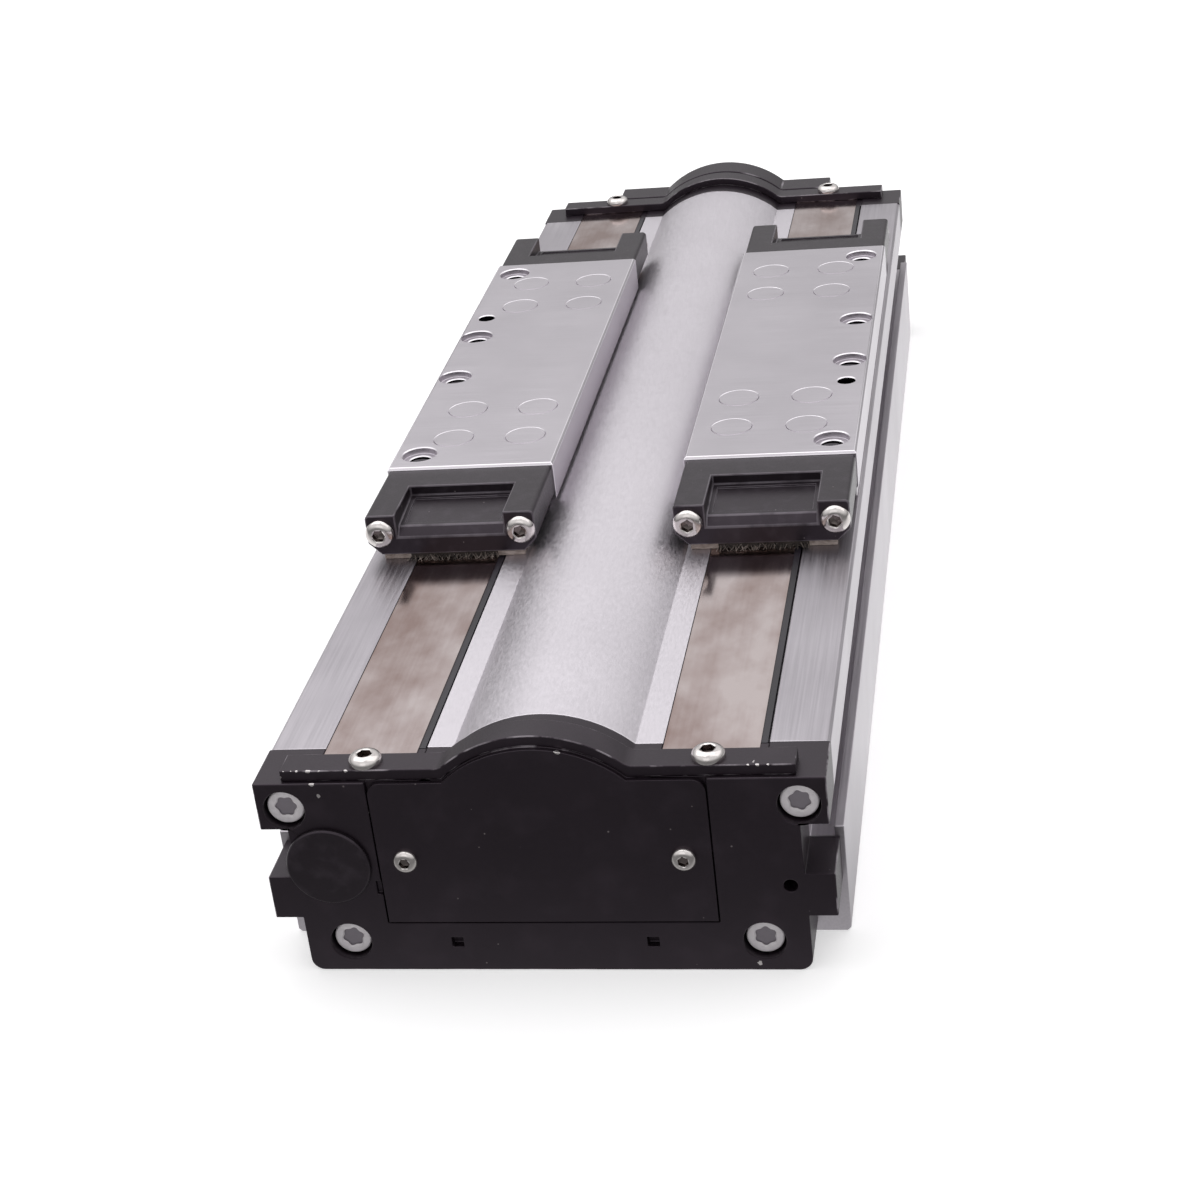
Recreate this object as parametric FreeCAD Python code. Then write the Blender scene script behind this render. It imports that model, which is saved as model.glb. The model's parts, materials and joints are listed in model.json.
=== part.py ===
import FreeCAD, Part
import math
import os

# Linear positioning stage: a slotted extrusion that carries two guide rails and a ball screw,
# closed above by an arched centre cover and two steel bands, with a carriage that lifts the bands
# over itself. Millimetres, +Z up. Origin: middle of the base face. +Y runs to the drive end,
# and the end at -Y is the one with the cover plate and the access plug.
# Lengths follow from the travel, and the section grows outwards from the ball nut.

# Lengths
travel = 150.0
plate_length = 160.0           # carriage plates
bumper_length = 27.0
bumper_gap = 0.5               # left before the bumpers at the ends of the travel
end_block_depth = 15.0
carriage_rest = 20.0           # carriage centre at rest, from the middle of the stage

# Screws: radius of shank, radius of head, height of head
screw_m3_button = (1.5, 2.85, 1.65)
screw_m4_button = (2.0, 3.8, 2.2)
screw_m3_cap = (1.5, 2.75, 3.0)
screw_m4_cap = (2.0, 3.5, 4.0)
screw_m5_cap = (2.5, 4.25, 5.0)
screw_m4_flat = (2.0, 3.75, 2.2)
button_rim = 0.35              # of the head's height, straight before the dome
button_top = 0.55              # of the head's radius, flat on top
socket_size = 0.34             # of the head's radius
socket_floor = 0.4             # of the head's height
hole_gap = 0.15                # between a shank and its clearance hole
thread_gap = 0.02
head_gap = 0.5                 # between a head and its counterbore
head_drop = 0.3                # of a sunk head below its surface
thread_m3 = 6.0                # length of thread that a screw takes
thread_m4 = 8.0
thread_m5 = 12.0
thread_spare = 2.0             # of a tapped hole beyond its screw

# Ball screw, nut and bearings
screw_radius = 8.0
journal_radius = 6.0
stub_radius = 4.0
stub_length = 14.0             # beyond the drive flange
stub_edge = 0.5
running_gap = 0.05
nut_radius = 14.0
nut_length = 44.0
nut_screw_wall = 4.5           # from the nut's body to its bolt circle, and on to its rim
nut_screw_angle = 22.0
nut_flange_half_height = 17.0
nut_flange_thickness = 10.0
bearing_radius = 14.0
bearing_ring = 2.0
bearing_seal = 0.5             # depth of the seals in a bearing's faces
front_bearing_width = 8.0
drive_bearing_width = 12.0
bearing_inset = 2.0            # of the front bearing from the outer face
shoulder_radius = 10.0
locknut_radius = 9.0
locknut_width = 6.0
locknut_slot = 3.0
journal_spare = 1.0            # of the journal beyond the locknut
locknut_gap = 0.2              # between the locknut and the drive bearing

# Guides
rail_width = 12.0
rail_height = 8.0
rail_foot = 1.6                # height of the straight flank below the ball grooves
rail_waist = 1.1               # depth of the ball grooves on each side
rail_groove = 2.0              # height of a groove's straight bottom
rail_edge = 0.5
rail_end_gap = 1.5
rail_screw_pitch = 60.0
guide_gap = 0.3
block_width = 27.0
block_length = 45.4
block_lift = 3.0               # underside of a guide block above the rail's base
block_stack = 13.0             # top of a guide block above the rail's base
block_edge = 0.5
block_inset = 29.15            # of the blocks' middles from the ends of the carriage
block_hole_spacing = 20.0      # both ways
block_thread = 3.5

# Base profile
trough_floor = 8.0             # floor under the screw
trough_gap = 2.5               # between that floor and the nut's flange
pedestal_drop = 4.5            # top of the rail pedestals below the screw axis
pedestal_width = 18.0
floor_height = 14.0            # outer floor, beside the rail pedestals
cavity_gap = 0.85              # beside the saddle's bridge
bridge_gap = 1.0               # above the saddle's bridge
roof_thickness = 5.0
web_slot_width = 15.3          # of the slots that the carriage webs run in
seat_step = 4.0                # the bands' channels are this much wider on each side
inner_wall = 4.3               # between the cavity and the side slots
slot_depth = 6.2
slot_height = 12.55
shoulder_height = 11.75        # from the side slots to the top
flange_step = 1.5              # the foot of the profile is this much wider on each side
lip_height = 2.5               # bead along the outer edge of the slot floor
lip_width = 2.2
corner_bevel = 0.8

# Centre cover
arch_clearance = 4.5           # between the nut's flange and the arch
arch_wall = 2.5
cover_ledge = 6.1              # flat strip on each side of the arch

# Cover bands and their magnet strips
band_play = 2.1                # of a band in its channel
band_shift = -0.85             # both bands lie towards -X in their channels
band_thickness = 0.3
magnet_thickness = 2.2
magnet_gap = 0.45
band_end_inset = 3.0
ramp_length = 17.0             # along which a band rises from its channel
band_lift_gap = 0.1

# End blocks
foot_inset = 5.9               # of the foot from the profile's sides
foot_height = 14.3
foot_corner = 3.0
wing_inset = 1.05              # of the wings from the profile's foot
end_screw_upper_inset = (6.2, 6.9)
end_screw_lower_inset = (16.1, 7.7)
end_screw_recess = 1.8
cover_foot_inset = (3.7, 1.9)  # screws of the centre cover, from the arch's foot and the roof
plug_inset = 14.3
plug_lift = 0.9                # centre of the access plug above the screw axis
plug_radius = 9.6
plug_edge = 0.4
plug_bore_radius = 6.8
plug_stand = 1.2
plug_depth = 9.0
dowel_inset = 9.4
dowel_drop = 5.3               # pocket of a dowel below the screw axis
dowel_radius = 1.5
dowel_depth = 6.0
slit_pocket = (22.2, 7.5)
slit_size = 2.6
slit_depth = 2.0

# Front cover plate, band clamps and drive flange
cover_half_width = 37.2
cover_bottom = 13.0
cover_thickness = 1.2
cover_gap = 0.3
cover_corner = 3.0
cover_screw_inset = 6.2
cover_screw_lift = 2.0
notch_width = 1.2              # pry notch beside the cover plate
notch_height = 3.5
notch_drop = 3.5               # its top below the screw axis
notch_depth = 1.0
clamp_end_inset = 6.4          # of the clamp's ends from the profile's sides
clamp_thickness = 2.6
clamp_width = 7.2
clamp_inset = 1.2
clamp_crown_wall = 2.5         # clamp over the top of the arch
clamp_arch_step = 1.0          # the clamp's arch has a larger radius than the cover's
clamp_screw_shift = -0.35      # from the middle of the bands' channels
flange_bottom = 3.0
flange_thickness = 11.0
flange_pilot_radius = 20.0
flange_pilot_depth = 2.0
flange_bore_radius = 11.0
flange_bolt_circle = 60.0
flange_screw_aside = 5.8       # beside the clamp's screws
flange_screw_inset = (5.5, 7.0)
counterbore_spare = 1.0

# Saddle
saddle_bridge = 7.5
web_gap = 0.8
table_thickness = 2.6
table_inset = (4.1, 0.5)       # of the saddle's tables from the inner and outer edges of the plates
boss_wall = 3.85               # beside the threads of the nut's screws
boss_gap = 3.0                 # below the boss
boss_length = 50.0
screw_relief = 1.5

# Plates
plate_gap = 3.3                # between the profile and the plates
plate_thickness = 10.2
plate_inset = 0.5              # of a plate's outer edge from the profile's side
plate_arch_gap = 1.3
plate_bevel = 0.6
channel_depth = 1.6            # of the band channel in the underside of the plates
channel_play = (0.3, 0.4)      # of that channel beyond the channel in the profile
outer_hole_inset = 7.0
outer_hole_pitch = 142.0
inner_hole_inset = 5.5
inner_hole_pitch = 32.0
mount_hole_radius = 3.0
mount_ring_radius = 4.7
mount_ring_depth = 1.8
dowel_hole_radius = 2.5
dowel_hole_depth = 8.0
dowel_hole_shift = 31.5
plate_plug_radius = 5.35
plate_plug_thickness = 2.2
shoe_thickness = 2.4
shoe_half_length = 15.0
shoe_half_width = 13.2
shoe_gap = 0.2
shoe_lead = 1.2
shoe_pocket_depth = 3.2
plate_screw_inset = 6.5
plate_screw_pitch = 45.0
plate_dowel_pitch = 40.0
plate_dowel_radius = 1.5
plate_dowel_length = 5.0

# Band caps and wipers at the ends of the plates
cap_depth = 28.0
cap_inset = (0.4, 0.3)         # from the inner and outer edges of the plates
cap_gap = 1.7                  # between the profile and the caps
cap_step = 0.7                 # top of the cap below the top of the plate
cap_bevel = 3.3
cap_lug = 8.1
cap_wall = 10.0                # solid stretch between the plate and the pocket
cap_floor_back = 2.7           # depth of the pocket behind,
cap_floor_front = 4.0          # in front,
cap_lip = 6.3                  # and at the foot of its front bevel
cap_panel_inset = 1.5          # sunk panel in the floor of the pocket
cap_panel_depth = 0.45
cap_channel_depth = 20.0
cap_screw_inset = 3.7
cap_screw_drop = 4.8
cap_screw_grip = 5.0
cap_corner = 1.2
wiper_inset = 1.0
wiper_depth = 6.0
wiper_clearance = 0.1
wiper_tuck = 2.0
wiper_side = 0.4               # beside the lower bevels of the caps
bumper_radius = 3.6
bumper_stem = 1.5
bumper_thread = 5.0

# Places that follow from the sizes above: lengths
plate_half = plate_length / 2
block_spacing = plate_length - 2 * block_inset
profile_end = travel / 2 + plate_half + bumper_gap + bumper_length
half_length = profile_end + end_block_depth
drive_face = half_length + flange_thickness
clamp_screw_y = half_length - clamp_inset - clamp_width / 2
ramp_start = plate_half + cap_channel_depth
ramp_end = ramp_start - ramp_length

# Heights
screw_height = trough_floor + trough_gap + nut_flange_half_height
pedestal_height = screw_height - pedestal_drop
block_top = pedestal_height + block_stack
saddle_top = block_top + saddle_bridge
cavity_roof = saddle_top + bridge_gap
body_height = cavity_roof + roof_thickness
slot_roof = body_height - shoulder_height
slot_floor = slot_roof - slot_height
band_bottom = body_height - band_thickness
ledge = band_bottom - magnet_thickness
plate_bottom = body_height + plate_gap
plate_top = plate_bottom + plate_thickness
channel_roof = plate_bottom + channel_depth
table_bottom = plate_bottom - table_thickness
lifted_band = plate_bottom + band_lift_gap
shoe_pocket_roof = plate_bottom + shoe_pocket_depth
plug_floor = plate_top - plate_plug_thickness - screw_m3_cap[2] - head_drop
cap_top = plate_top - cap_step
cap_bottom = body_height + cap_gap
wiper_top = cap_bottom + wiper_tuck
cap_screw_height = cap_top - cap_screw_drop
clamp_top = body_height + clamp_thickness
bumper_height = block_top + saddle_bridge / 2

# Widths, from the middle outwards
nut_screw_radius = nut_radius + nut_screw_wall
nut_flange_radius = nut_screw_radius + nut_screw_wall
arch_radius = nut_flange_radius + arch_clearance + arch_wall
cover_inner_radius = arch_radius - arch_wall
crown = screw_height + arch_radius
clamp_crown = crown + clamp_crown_wall
clamp_arch_radius = arch_radius + clamp_arch_step
clamp_axis = clamp_crown - clamp_arch_radius
arch_foot = math.sqrt(arch_radius ** 2 - (body_height - screw_height) ** 2)
seat_inner = round(arch_foot + cover_ledge, 1)
web_slot_inner = seat_inner + seat_step
web_slot_outer = web_slot_inner + web_slot_width
seat_outer = web_slot_outer + seat_step
band_width = seat_outer - seat_inner - band_play
rail_offset = (web_slot_inner + web_slot_outer) / 2
saddle_half_width = rail_offset + block_width / 2
cavity_half_width = saddle_half_width + cavity_gap
slot_wall = cavity_half_width + inner_wall
body_half = slot_wall + slot_depth
flange_half = body_half + flange_step
foot_half_width = body_half - foot_inset
wing_half_width = flange_half - wing_inset
clamp_half_length = body_half - clamp_end_inset
clamp_screw_x = rail_offset + clamp_screw_shift
plate_inner = round(math.sqrt(arch_radius ** 2 - (plate_bottom - screw_height) ** 2) + plate_arch_gap, 1)
plate_outer = body_half - plate_inset
table_inner = plate_inner + table_inset[0]
table_outer = plate_outer - table_inset[1]
channel_inner = seat_inner - channel_play[0]
channel_outer = seat_outer + channel_play[1]
plate_dowel_offset = (table_inner + channel_inner) / 2
plate_screw_offset = plate_outer - plate_screw_inset
inner_hole_offset = plate_outer - inner_hole_inset
cap_inner = plate_inner + cap_inset[0]
cap_outer = plate_outer - cap_inset[1]
cap_half = (cap_outer - cap_inner) / 2
cap_centre = (cap_inner + cap_outer) / 2

# Points in the end faces
end_screw_upper = (body_half - end_screw_upper_inset[0], body_height - end_screw_upper_inset[1])
end_screw_lower = (body_half - end_screw_lower_inset[0], end_screw_lower_inset[1])
cover_foot_screw = (arch_foot + cover_foot_inset[0], cavity_roof + cover_foot_inset[1])
plug_centre = (-body_half + plug_inset, screw_height + plug_lift)
dowel_pocket = (body_half - dowel_inset, screw_height - dowel_drop)
cover_screw = (cover_half_width - cover_screw_inset, screw_height + cover_screw_lift)
flange_screw = (clamp_screw_x - flange_screw_aside, flange_bottom + flange_screw_inset[1])
flange_half_width = flange_screw[0] + flange_screw_inset[0]
block_places = [(side, end) for side in (-1, 1) for end in (-1, 1)]


# Basic shapes
def vec(x, y, z):
    return FreeCAD.Vector(x, y, z)


def box(x_range, y_range, z_range):
    low = [min(r) for r in (x_range, y_range, z_range)]
    size = [abs(r[1] - r[0]) for r in (x_range, y_range, z_range)]
    return Part.makeBox(*size, vec(*low))


def rod_y(radius, x, z, y_start, y_end):
    low = min(y_start, y_end)
    return Part.makeCylinder(radius, abs(y_end - y_start), vec(x, low, z), vec(0, 1, 0))


def rod_z(radius, x, y, z_start, z_end):
    low = min(z_start, z_end)
    return Part.makeCylinder(radius, abs(z_end - z_start), vec(x, y, low), vec(0, 0, 1))


def outline_edges(points):
    # a point is (x, z), or (x, z, x_via, z_via) where an arc leads to it
    edges = []
    for start, end in zip(points, points[1:]):
        a = vec(start[0], 0, start[1])
        b = vec(end[0], 0, end[1])
        if len(end) == 4:
            edges.append(Part.Arc(a, vec(end[2], 0, end[3]), b).toShape())
        else:
            edges.append(Part.LineSegment(a, b).toShape())
    return edges


def extrude_y(edges, y_range):
    wire = Part.Wire(Part.__sortEdges__(edges))
    solid = Part.Face(wire).extrude(vec(0, abs(y_range[1] - y_range[0]), 0))
    solid.translate(vec(0, min(y_range), 0))
    return solid


def profile(points, y_range):
    return extrude_y(outline_edges(points + points[:1]), y_range)


def mirror_profile(half_points, y_range):
    # the half outline starts and ends on the middle plane
    half = outline_edges(half_points)
    other = [edge.mirror(vec(0, 0, 0), vec(1, 0, 0)) for edge in half]
    return extrude_y(half + other, y_range)


def turned(shape):
    copy = shape.copy()
    copy.rotate(vec(0, 0, 0), vec(0, 0, 1), 180)
    return copy


def both_sides(points):
    return [(side * x, z) for side in (-1, 1) for x, z in points]


def screw_y(kind, x, z, head_y, reach, outwards):
    # a screw along Y: its head's underside at head_y, the head on the side that outwards names
    shank, head, height = kind
    body = rod_y(shank, x, z, head_y, head_y - outwards * reach)
    return body.fuse(rod_y(head, x, z, head_y, head_y + outwards * height)).removeSplitter()


def screw_z(kind, x, y, head_z, reach):
    shank, head, height = kind
    body = rod_z(shank, x, y, head_z, head_z - reach)
    return body.fuse(rod_z(head, x, y, head_z, head_z + height)).removeSplitter()


def button_y(kind, x, z, head_y, reach, outwards):
    # a domed head with a hexagon socket
    shank, head, height = kind
    body = rod_y(shank, x, z, head_y, head_y - outwards * reach)
    rim = button_rim * height
    cap = rod_y(head, x, z, head_y, head_y + outwards * rim)
    cone = Part.makeCone(head, button_top * head, height - rim, vec(x, head_y + outwards * rim, z),
                         vec(0, outwards, 0))
    socket = rod_y(socket_size * head, x, z, head_y + outwards * socket_floor * height,
                   head_y + outwards * 2 * height)
    return body.fuse([cap, cone]).cut(socket).removeSplitter()


def button_z(kind, x, y, head_z, reach):
    shape = button_y(kind, 0, 0, 0, reach, 1)
    shape.rotate(vec(0, 0, 0), vec(1, 0, 0), 90)
    shape.translate(vec(x, y, head_z))
    return shape


def group(shapes):
    return Part.makeCompound(shapes)


# Base: profile, cover and bands
def side_slot_outline():
    return [(slot_wall, slot_floor), (flange_half - lip_width, slot_floor),
            (flange_half - lip_width, slot_floor + lip_height), (flange_half, slot_floor + lip_height)]


def base_profile():
    pedestal_in = rail_offset - pedestal_width / 2
    pedestal_out = rail_offset + pedestal_width / 2
    half = [(0, 0), (flange_half - corner_bevel, 0), (flange_half, corner_bevel)]
    half += side_slot_outline()[::-1]
    half += [(slot_wall, slot_roof), (body_half, slot_roof),
             (body_half, body_height - corner_bevel), (body_half - corner_bevel, body_height),
             (seat_outer, body_height), (seat_outer, ledge), (web_slot_outer, ledge),
             (web_slot_outer, cavity_roof), (cavity_half_width, cavity_roof),
             (cavity_half_width, floor_height), (pedestal_out, floor_height),
             (pedestal_out, pedestal_height), (pedestal_in, pedestal_height),
             (pedestal_in, trough_floor), (0, trough_floor)]
    solid = mirror_profile(half, (-profile_end, profile_end))
    tapped = screw_m5_cap[0] + thread_gap
    for end in (-1, 1):
        for x, z in both_sides([end_screw_upper, end_screw_lower]):
            floor = end * (profile_end - thread_m5 - thread_spare)
            solid = solid.cut(rod_y(tapped, x, z, end * profile_end, floor))
    for x, y in rail_screw_places():
        hole = rod_z(screw_m3_cap[0] + thread_gap, x, y, pedestal_height - thread_m3 - thread_spare,
                     pedestal_height)
        solid = solid.cut(hole)
    return solid


def centre_cover():
    inner_foot = math.sqrt(cover_inner_radius ** 2 - (cavity_roof - screw_height) ** 2)
    half = [(0, screw_height + cover_inner_radius),
            (inner_foot, cavity_roof) + arc_point(cover_inner_radius, inner_foot / 2),
            (web_slot_inner, cavity_roof), (web_slot_inner, ledge), (seat_inner, ledge),
            (seat_inner, body_height), (arch_foot, body_height),
            (0, crown) + arc_point(arch_radius, arch_foot / 2)]
    solid = mirror_profile(half, (-profile_end, profile_end))
    for end in (-1, 1):
        for x, z in both_sides([cover_foot_screw]):
            thread = rod_y(screw_m3_cap[0] + thread_gap, x, z, end * profile_end,
                           end * (profile_end - thread_m3 - thread_spare))
            solid = solid.cut(thread)
    return solid


def arc_point(radius, x):
    # a point on a circle about the screw axis
    return (x, screw_height + math.sqrt(radius ** 2 - x ** 2))


def magnet_strips():
    spans = [(web_slot_outer, seat_outer - magnet_gap), (seat_inner + magnet_gap, web_slot_inner)]
    return group([box((side * low, side * high), (-profile_end, profile_end), (ledge, band_bottom))
                  for side in (-1, 1) for low, high in spans])


def cover_band(side):
    # flat in its channel, lifted over the carriage by two smooth ramps
    rise = lifted_band - band_bottom
    middle = side * rail_offset + band_shift
    end = half_length - band_end_inset

    def ramp(inner, outer, direction):
        centre = (ramp_start + ramp_end) / 2
        radius = ((ramp_start - ramp_end) ** 2 + rise ** 2) / (4 * rise)
        half_angle = math.asin((ramp_start - ramp_end) / 2 / radius) / 2
        bow = radius * (1 - math.cos(half_angle))
        step = radius * math.sin(half_angle)
        low = vec(0, direction * (ramp_start - step) + carriage_rest, outer + bow)
        mid = vec(0, direction * centre + carriage_rest, (inner + outer) / 2)
        high = vec(0, direction * (ramp_end + step) + carriage_rest, inner - bow)
        foot = vec(0, direction * ramp_start + carriage_rest, outer)
        head = vec(0, direction * ramp_end + carriage_rest, inner)
        return [Part.Arc(foot, low, mid).toShape(), Part.Arc(mid, high, head).toShape()]

    edges = []
    for lift in (0, band_thickness):
        low, high = band_bottom + lift, lifted_band + lift
        edges += ramp(high, low, -1) + ramp(high, low, 1)
        spans = [(-end, carriage_rest - ramp_start, low), (carriage_rest - ramp_end,
                 carriage_rest + ramp_end, high), (carriage_rest + ramp_start, end, low)]
        edges += [Part.LineSegment(vec(0, a, z), vec(0, b, z)).toShape() for a, b, z in spans]
    edges += [Part.LineSegment(vec(0, y, band_bottom), vec(0, y, body_height)).toShape()
              for y in (-end, end)]
    face = Part.Face(Part.Wire(Part.__sortEdges__(edges)))
    solid = face.extrude(vec(band_width, 0, 0))
    solid.translate(vec(middle - band_width / 2, 0, 0))
    for place in (-1, 1):
        solid = solid.cut(rod_z(screw_m4_button[0] + hole_gap, side * clamp_screw_x,
                                place * clamp_screw_y, band_bottom, body_height))
    return solid


# Base: end blocks and what is fastened to them
def block_outline():
    r = foot_corner
    s = r * (1 - math.sqrt(0.5))
    return [(0, 0), (foot_half_width - r, 0),
            (foot_half_width, r, foot_half_width - s, s),
            (foot_half_width, foot_height), (wing_half_width, foot_height),
            (wing_half_width, slot_floor), (slot_wall, slot_floor),
            (slot_wall, slot_roof), (body_half, slot_roof), (body_half, body_height),
            (arch_foot, body_height), (0, crown) + arc_point(arch_radius, arch_foot / 2)]


def end_block(end):
    # both blocks share the outline, the screw holes and the band seats
    outer = end * half_length
    solid = mirror_profile(block_outline(), (end * profile_end, outer))
    head_floor = outer - end * (end_screw_recess + screw_m5_cap[2])
    for x, z in both_sides([end_screw_upper, end_screw_lower]):
        solid = solid.cut(rod_y(screw_m5_cap[1] + head_gap, x, z, outer, head_floor))
        solid = solid.cut(rod_y(screw_m5_cap[0] + hole_gap, x, z, outer, end * profile_end))
    for side in (-1, 1):
        seat = box((side * seat_inner, side * seat_outer),
                   (end * profile_end, end * (half_length - band_end_inset)),
                   (band_bottom, body_height))
        solid = solid.cut(seat)
        tapped = rod_z(screw_m4_button[0] + thread_gap, side * clamp_screw_x, end * clamp_screw_y,
                       body_height - thread_m4 - thread_spare, body_height)
        solid = solid.cut(tapped)
    for x, z in both_sides([cover_foot_screw]):
        solid = solid.cut(rod_y(screw_m3_cap[0] + hole_gap, x, z, outer, end * profile_end))
        solid = solid.cut(rod_y(screw_m3_cap[1] + hole_gap, x, z, outer, cover_foot_head(end)))
    return solid


def cover_foot_head(end):
    return end * (half_length - cover_thickness - screw_m3_cap[2] - head_drop)


def front_end_block():
    outer = -half_length
    solid = end_block(-1)
    recess_half = cover_half_width + cover_gap
    recess = box((-recess_half, recess_half), (outer, outer + cover_thickness),
                 (cover_bottom - cover_gap, clamp_crown))
    solid = solid.cut(recess)
    bearing_back = outer + bearing_inset + front_bearing_width
    solid = solid.cut(rod_y(bearing_radius + running_gap, 0, screw_height, outer, bearing_back))
    solid = solid.cut(rod_y(shoulder_radius, 0, screw_height, outer, -profile_end))
    x, z = plug_centre
    solid = solid.cut(rod_y(plug_bore_radius, x, z, outer, -profile_end))
    x, z = dowel_pocket
    solid = solid.cut(rod_y(dowel_radius, x, z, outer, outer + dowel_depth))
    x, z = slit_pocket
    h = slit_size / 2
    for side in (-1, 1):
        slit = box((side * x - h, side * x + h), (outer, outer + slit_depth), (z - h, z + h))
        solid = solid.cut(slit)
    for x, z in both_sides([cover_screw]):
        solid = solid.cut(rod_y(screw_m3_button[0] + thread_gap, x, z, outer,
                                outer + cover_thickness + thread_m3 + thread_spare))
    notch_x = -cover_half_width - cover_gap
    notch_top = screw_height - notch_drop
    solid = solid.cut(box((notch_x - notch_width, notch_x), (outer, outer + notch_depth),
                          (notch_top - notch_height, notch_top)))
    return solid.cut(bumper_threads(-1))


def rear_end_block():
    outer = half_length
    solid = end_block(1)
    bearing_back = outer - drive_bearing_width
    solid = solid.cut(rod_y(bearing_radius + running_gap, 0, screw_height, outer, bearing_back))
    solid = solid.cut(rod_y(shoulder_radius, 0, screw_height, outer, profile_end))
    for x, z in flange_screw_places():
        solid = solid.cut(rod_y(screw_m4_cap[0] + thread_gap, x, z, outer,
                                outer - thread_m4 - thread_spare))
    return solid.cut(bumper_threads(1))


def bumper_threads(end):
    return group([rod_y(bumper_stem, side * rail_offset, bumper_height, end * profile_end,
                        end * (profile_end + bumper_thread + thread_spare)) for side in (-1, 1)])


def front_cover_plate():
    outer = -half_length
    r = cover_corner
    s = r * (1 - math.sqrt(0.5))
    top = body_height - cover_gap
    arch = arch_radius - cover_gap
    foot = math.sqrt(arch ** 2 - (top - screw_height) ** 2)
    half = [(0, cover_bottom), (cover_half_width, cover_bottom), (cover_half_width, top - r),
            (cover_half_width - r, top, cover_half_width - s, top - s),
            (foot, top), (0, screw_height + arch) + arc_point(arch, foot / 2)]
    solid = mirror_profile(half, (outer, outer + cover_thickness))
    for x, z in both_sides([cover_screw]):
        hole = rod_y(screw_m3_button[0] + hole_gap, x, z, outer, outer + cover_thickness)
        solid = solid.cut(hole)
    return solid


def clamp_outline(bottom):
    # flat wings and an arch over the centre cover, down to the given bottom outline
    foot = math.sqrt(clamp_arch_radius ** 2 - (clamp_top - clamp_axis) ** 2)
    via = foot / 2
    return bottom + [(foot, clamp_top),
                     (0, clamp_crown, via, clamp_axis + math.sqrt(clamp_arch_radius ** 2 - via ** 2))]


def band_clamp(end):
    bottom = [(0, crown), (arch_foot, body_height) + arc_point(arch_radius, arch_foot / 2),
              (clamp_half_length, body_height), (clamp_half_length, clamp_top)]
    near = half_length - clamp_inset
    solid = mirror_profile(clamp_outline(bottom), (end * near, end * (near - clamp_width)))
    concave = [e for e in solid.Edges if e.Length > 0.99 * clamp_width
               and abs(e.BoundBox.XLength) < 0.01 and abs(e.BoundBox.ZLength) < 0.01
               and abs(e.CenterOfMass.z - clamp_top) < 0.01
               and abs(e.CenterOfMass.x) < clamp_half_length - 1]
    solid = solid.makeFillet(clamp_width / 2, concave)
    for side in (-1, 1):
        solid = solid.cut(rod_z(screw_m4_button[0] + hole_gap, side * clamp_screw_x,
                                end * clamp_screw_y, body_height, clamp_top))
    return solid


def band_clamp_screws():
    return group([button_z(screw_m4_button, side * clamp_screw_x, end * clamp_screw_y,
                           clamp_top, clamp_thickness + thread_m4)
                  for side in (-1, 1) for end in (-1, 1)])


def cover_plate_screws():
    return group([button_y(screw_m3_button, x, z, -half_length, cover_thickness + thread_m3, -1)
                  for x, z in both_sides([cover_screw])])


def end_block_screws():
    reach = end_block_depth - end_screw_recess - screw_m5_cap[2] + thread_m5
    return group([screw_y(screw_m5_cap, x, z, end * (half_length - end_screw_recess - screw_m5_cap[2]),
                          reach, end)
                  for end in (-1, 1) for x, z in both_sides([end_screw_upper, end_screw_lower])])


def cover_foot_screws():
    reach = abs(cover_foot_head(1)) - profile_end + thread_m3
    return group([screw_y(screw_m3_cap, x, z, cover_foot_head(end), reach, end)
                  for end in (-1, 1) for x, z in both_sides([cover_foot_screw])])


def access_plug():
    x, z = plug_centre
    outer = -half_length
    rim = rod_y(plug_radius, x, z, outer - plug_stand, outer)
    edge = [e for e in rim.Edges if abs(e.CenterOfMass.y - (outer - plug_stand)) < 0.01]
    rim = rim.makeChamfer(plug_edge, edge)
    return rim.fuse(rod_y(plug_bore_radius - running_gap, x, z, outer, outer + plug_depth))


def flange_screw_places():
    x, z = flange_screw
    return both_sides([(x, z), (x, 2 * screw_height - z)])


def drive_flange():
    bottom = [(0, flange_bottom), (flange_half_width, flange_bottom), (flange_half_width, clamp_top)]
    solid = mirror_profile(clamp_outline(bottom), (half_length, drive_face))
    solid = solid.cut(rod_y(flange_bore_radius, 0, screw_height, half_length, drive_face))
    solid = solid.cut(rod_y(flange_pilot_radius, 0, screw_height, drive_face,
                            drive_face - flange_pilot_depth))
    for x, z in flange_screw_places():
        solid = solid.cut(rod_y(screw_m4_cap[0] + hole_gap, x, z, half_length, drive_face))
        solid = solid.cut(rod_y(screw_m4_cap[1] + head_gap, x, z, drive_face, flange_head_y()))
    for turn in range(4):
        angle = math.radians(45 + 90 * turn)
        x = flange_bolt_circle / 2 * math.cos(angle)
        z = screw_height + flange_bolt_circle / 2 * math.sin(angle)
        solid = solid.cut(rod_y(screw_m4_cap[0], x, z, half_length, drive_face))
    return solid


def flange_head_y():
    return drive_face - screw_m4_cap[2] - counterbore_spare


def flange_screws():
    head = flange_head_y()
    return group([screw_y(screw_m4_cap, x, z, head, head - half_length + thread_m4, 1)
                  for x, z in flange_screw_places()])


# Base: guides, bearings and bumpers
def rail_screw_places():
    count = int((2 * profile_end - rail_screw_pitch / 2) // rail_screw_pitch)
    first = -rail_screw_pitch * count / 2
    return [(side * rail_offset, first + rail_screw_pitch * i) for side in (-1, 1)
            for i in range(count + 1)]


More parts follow.
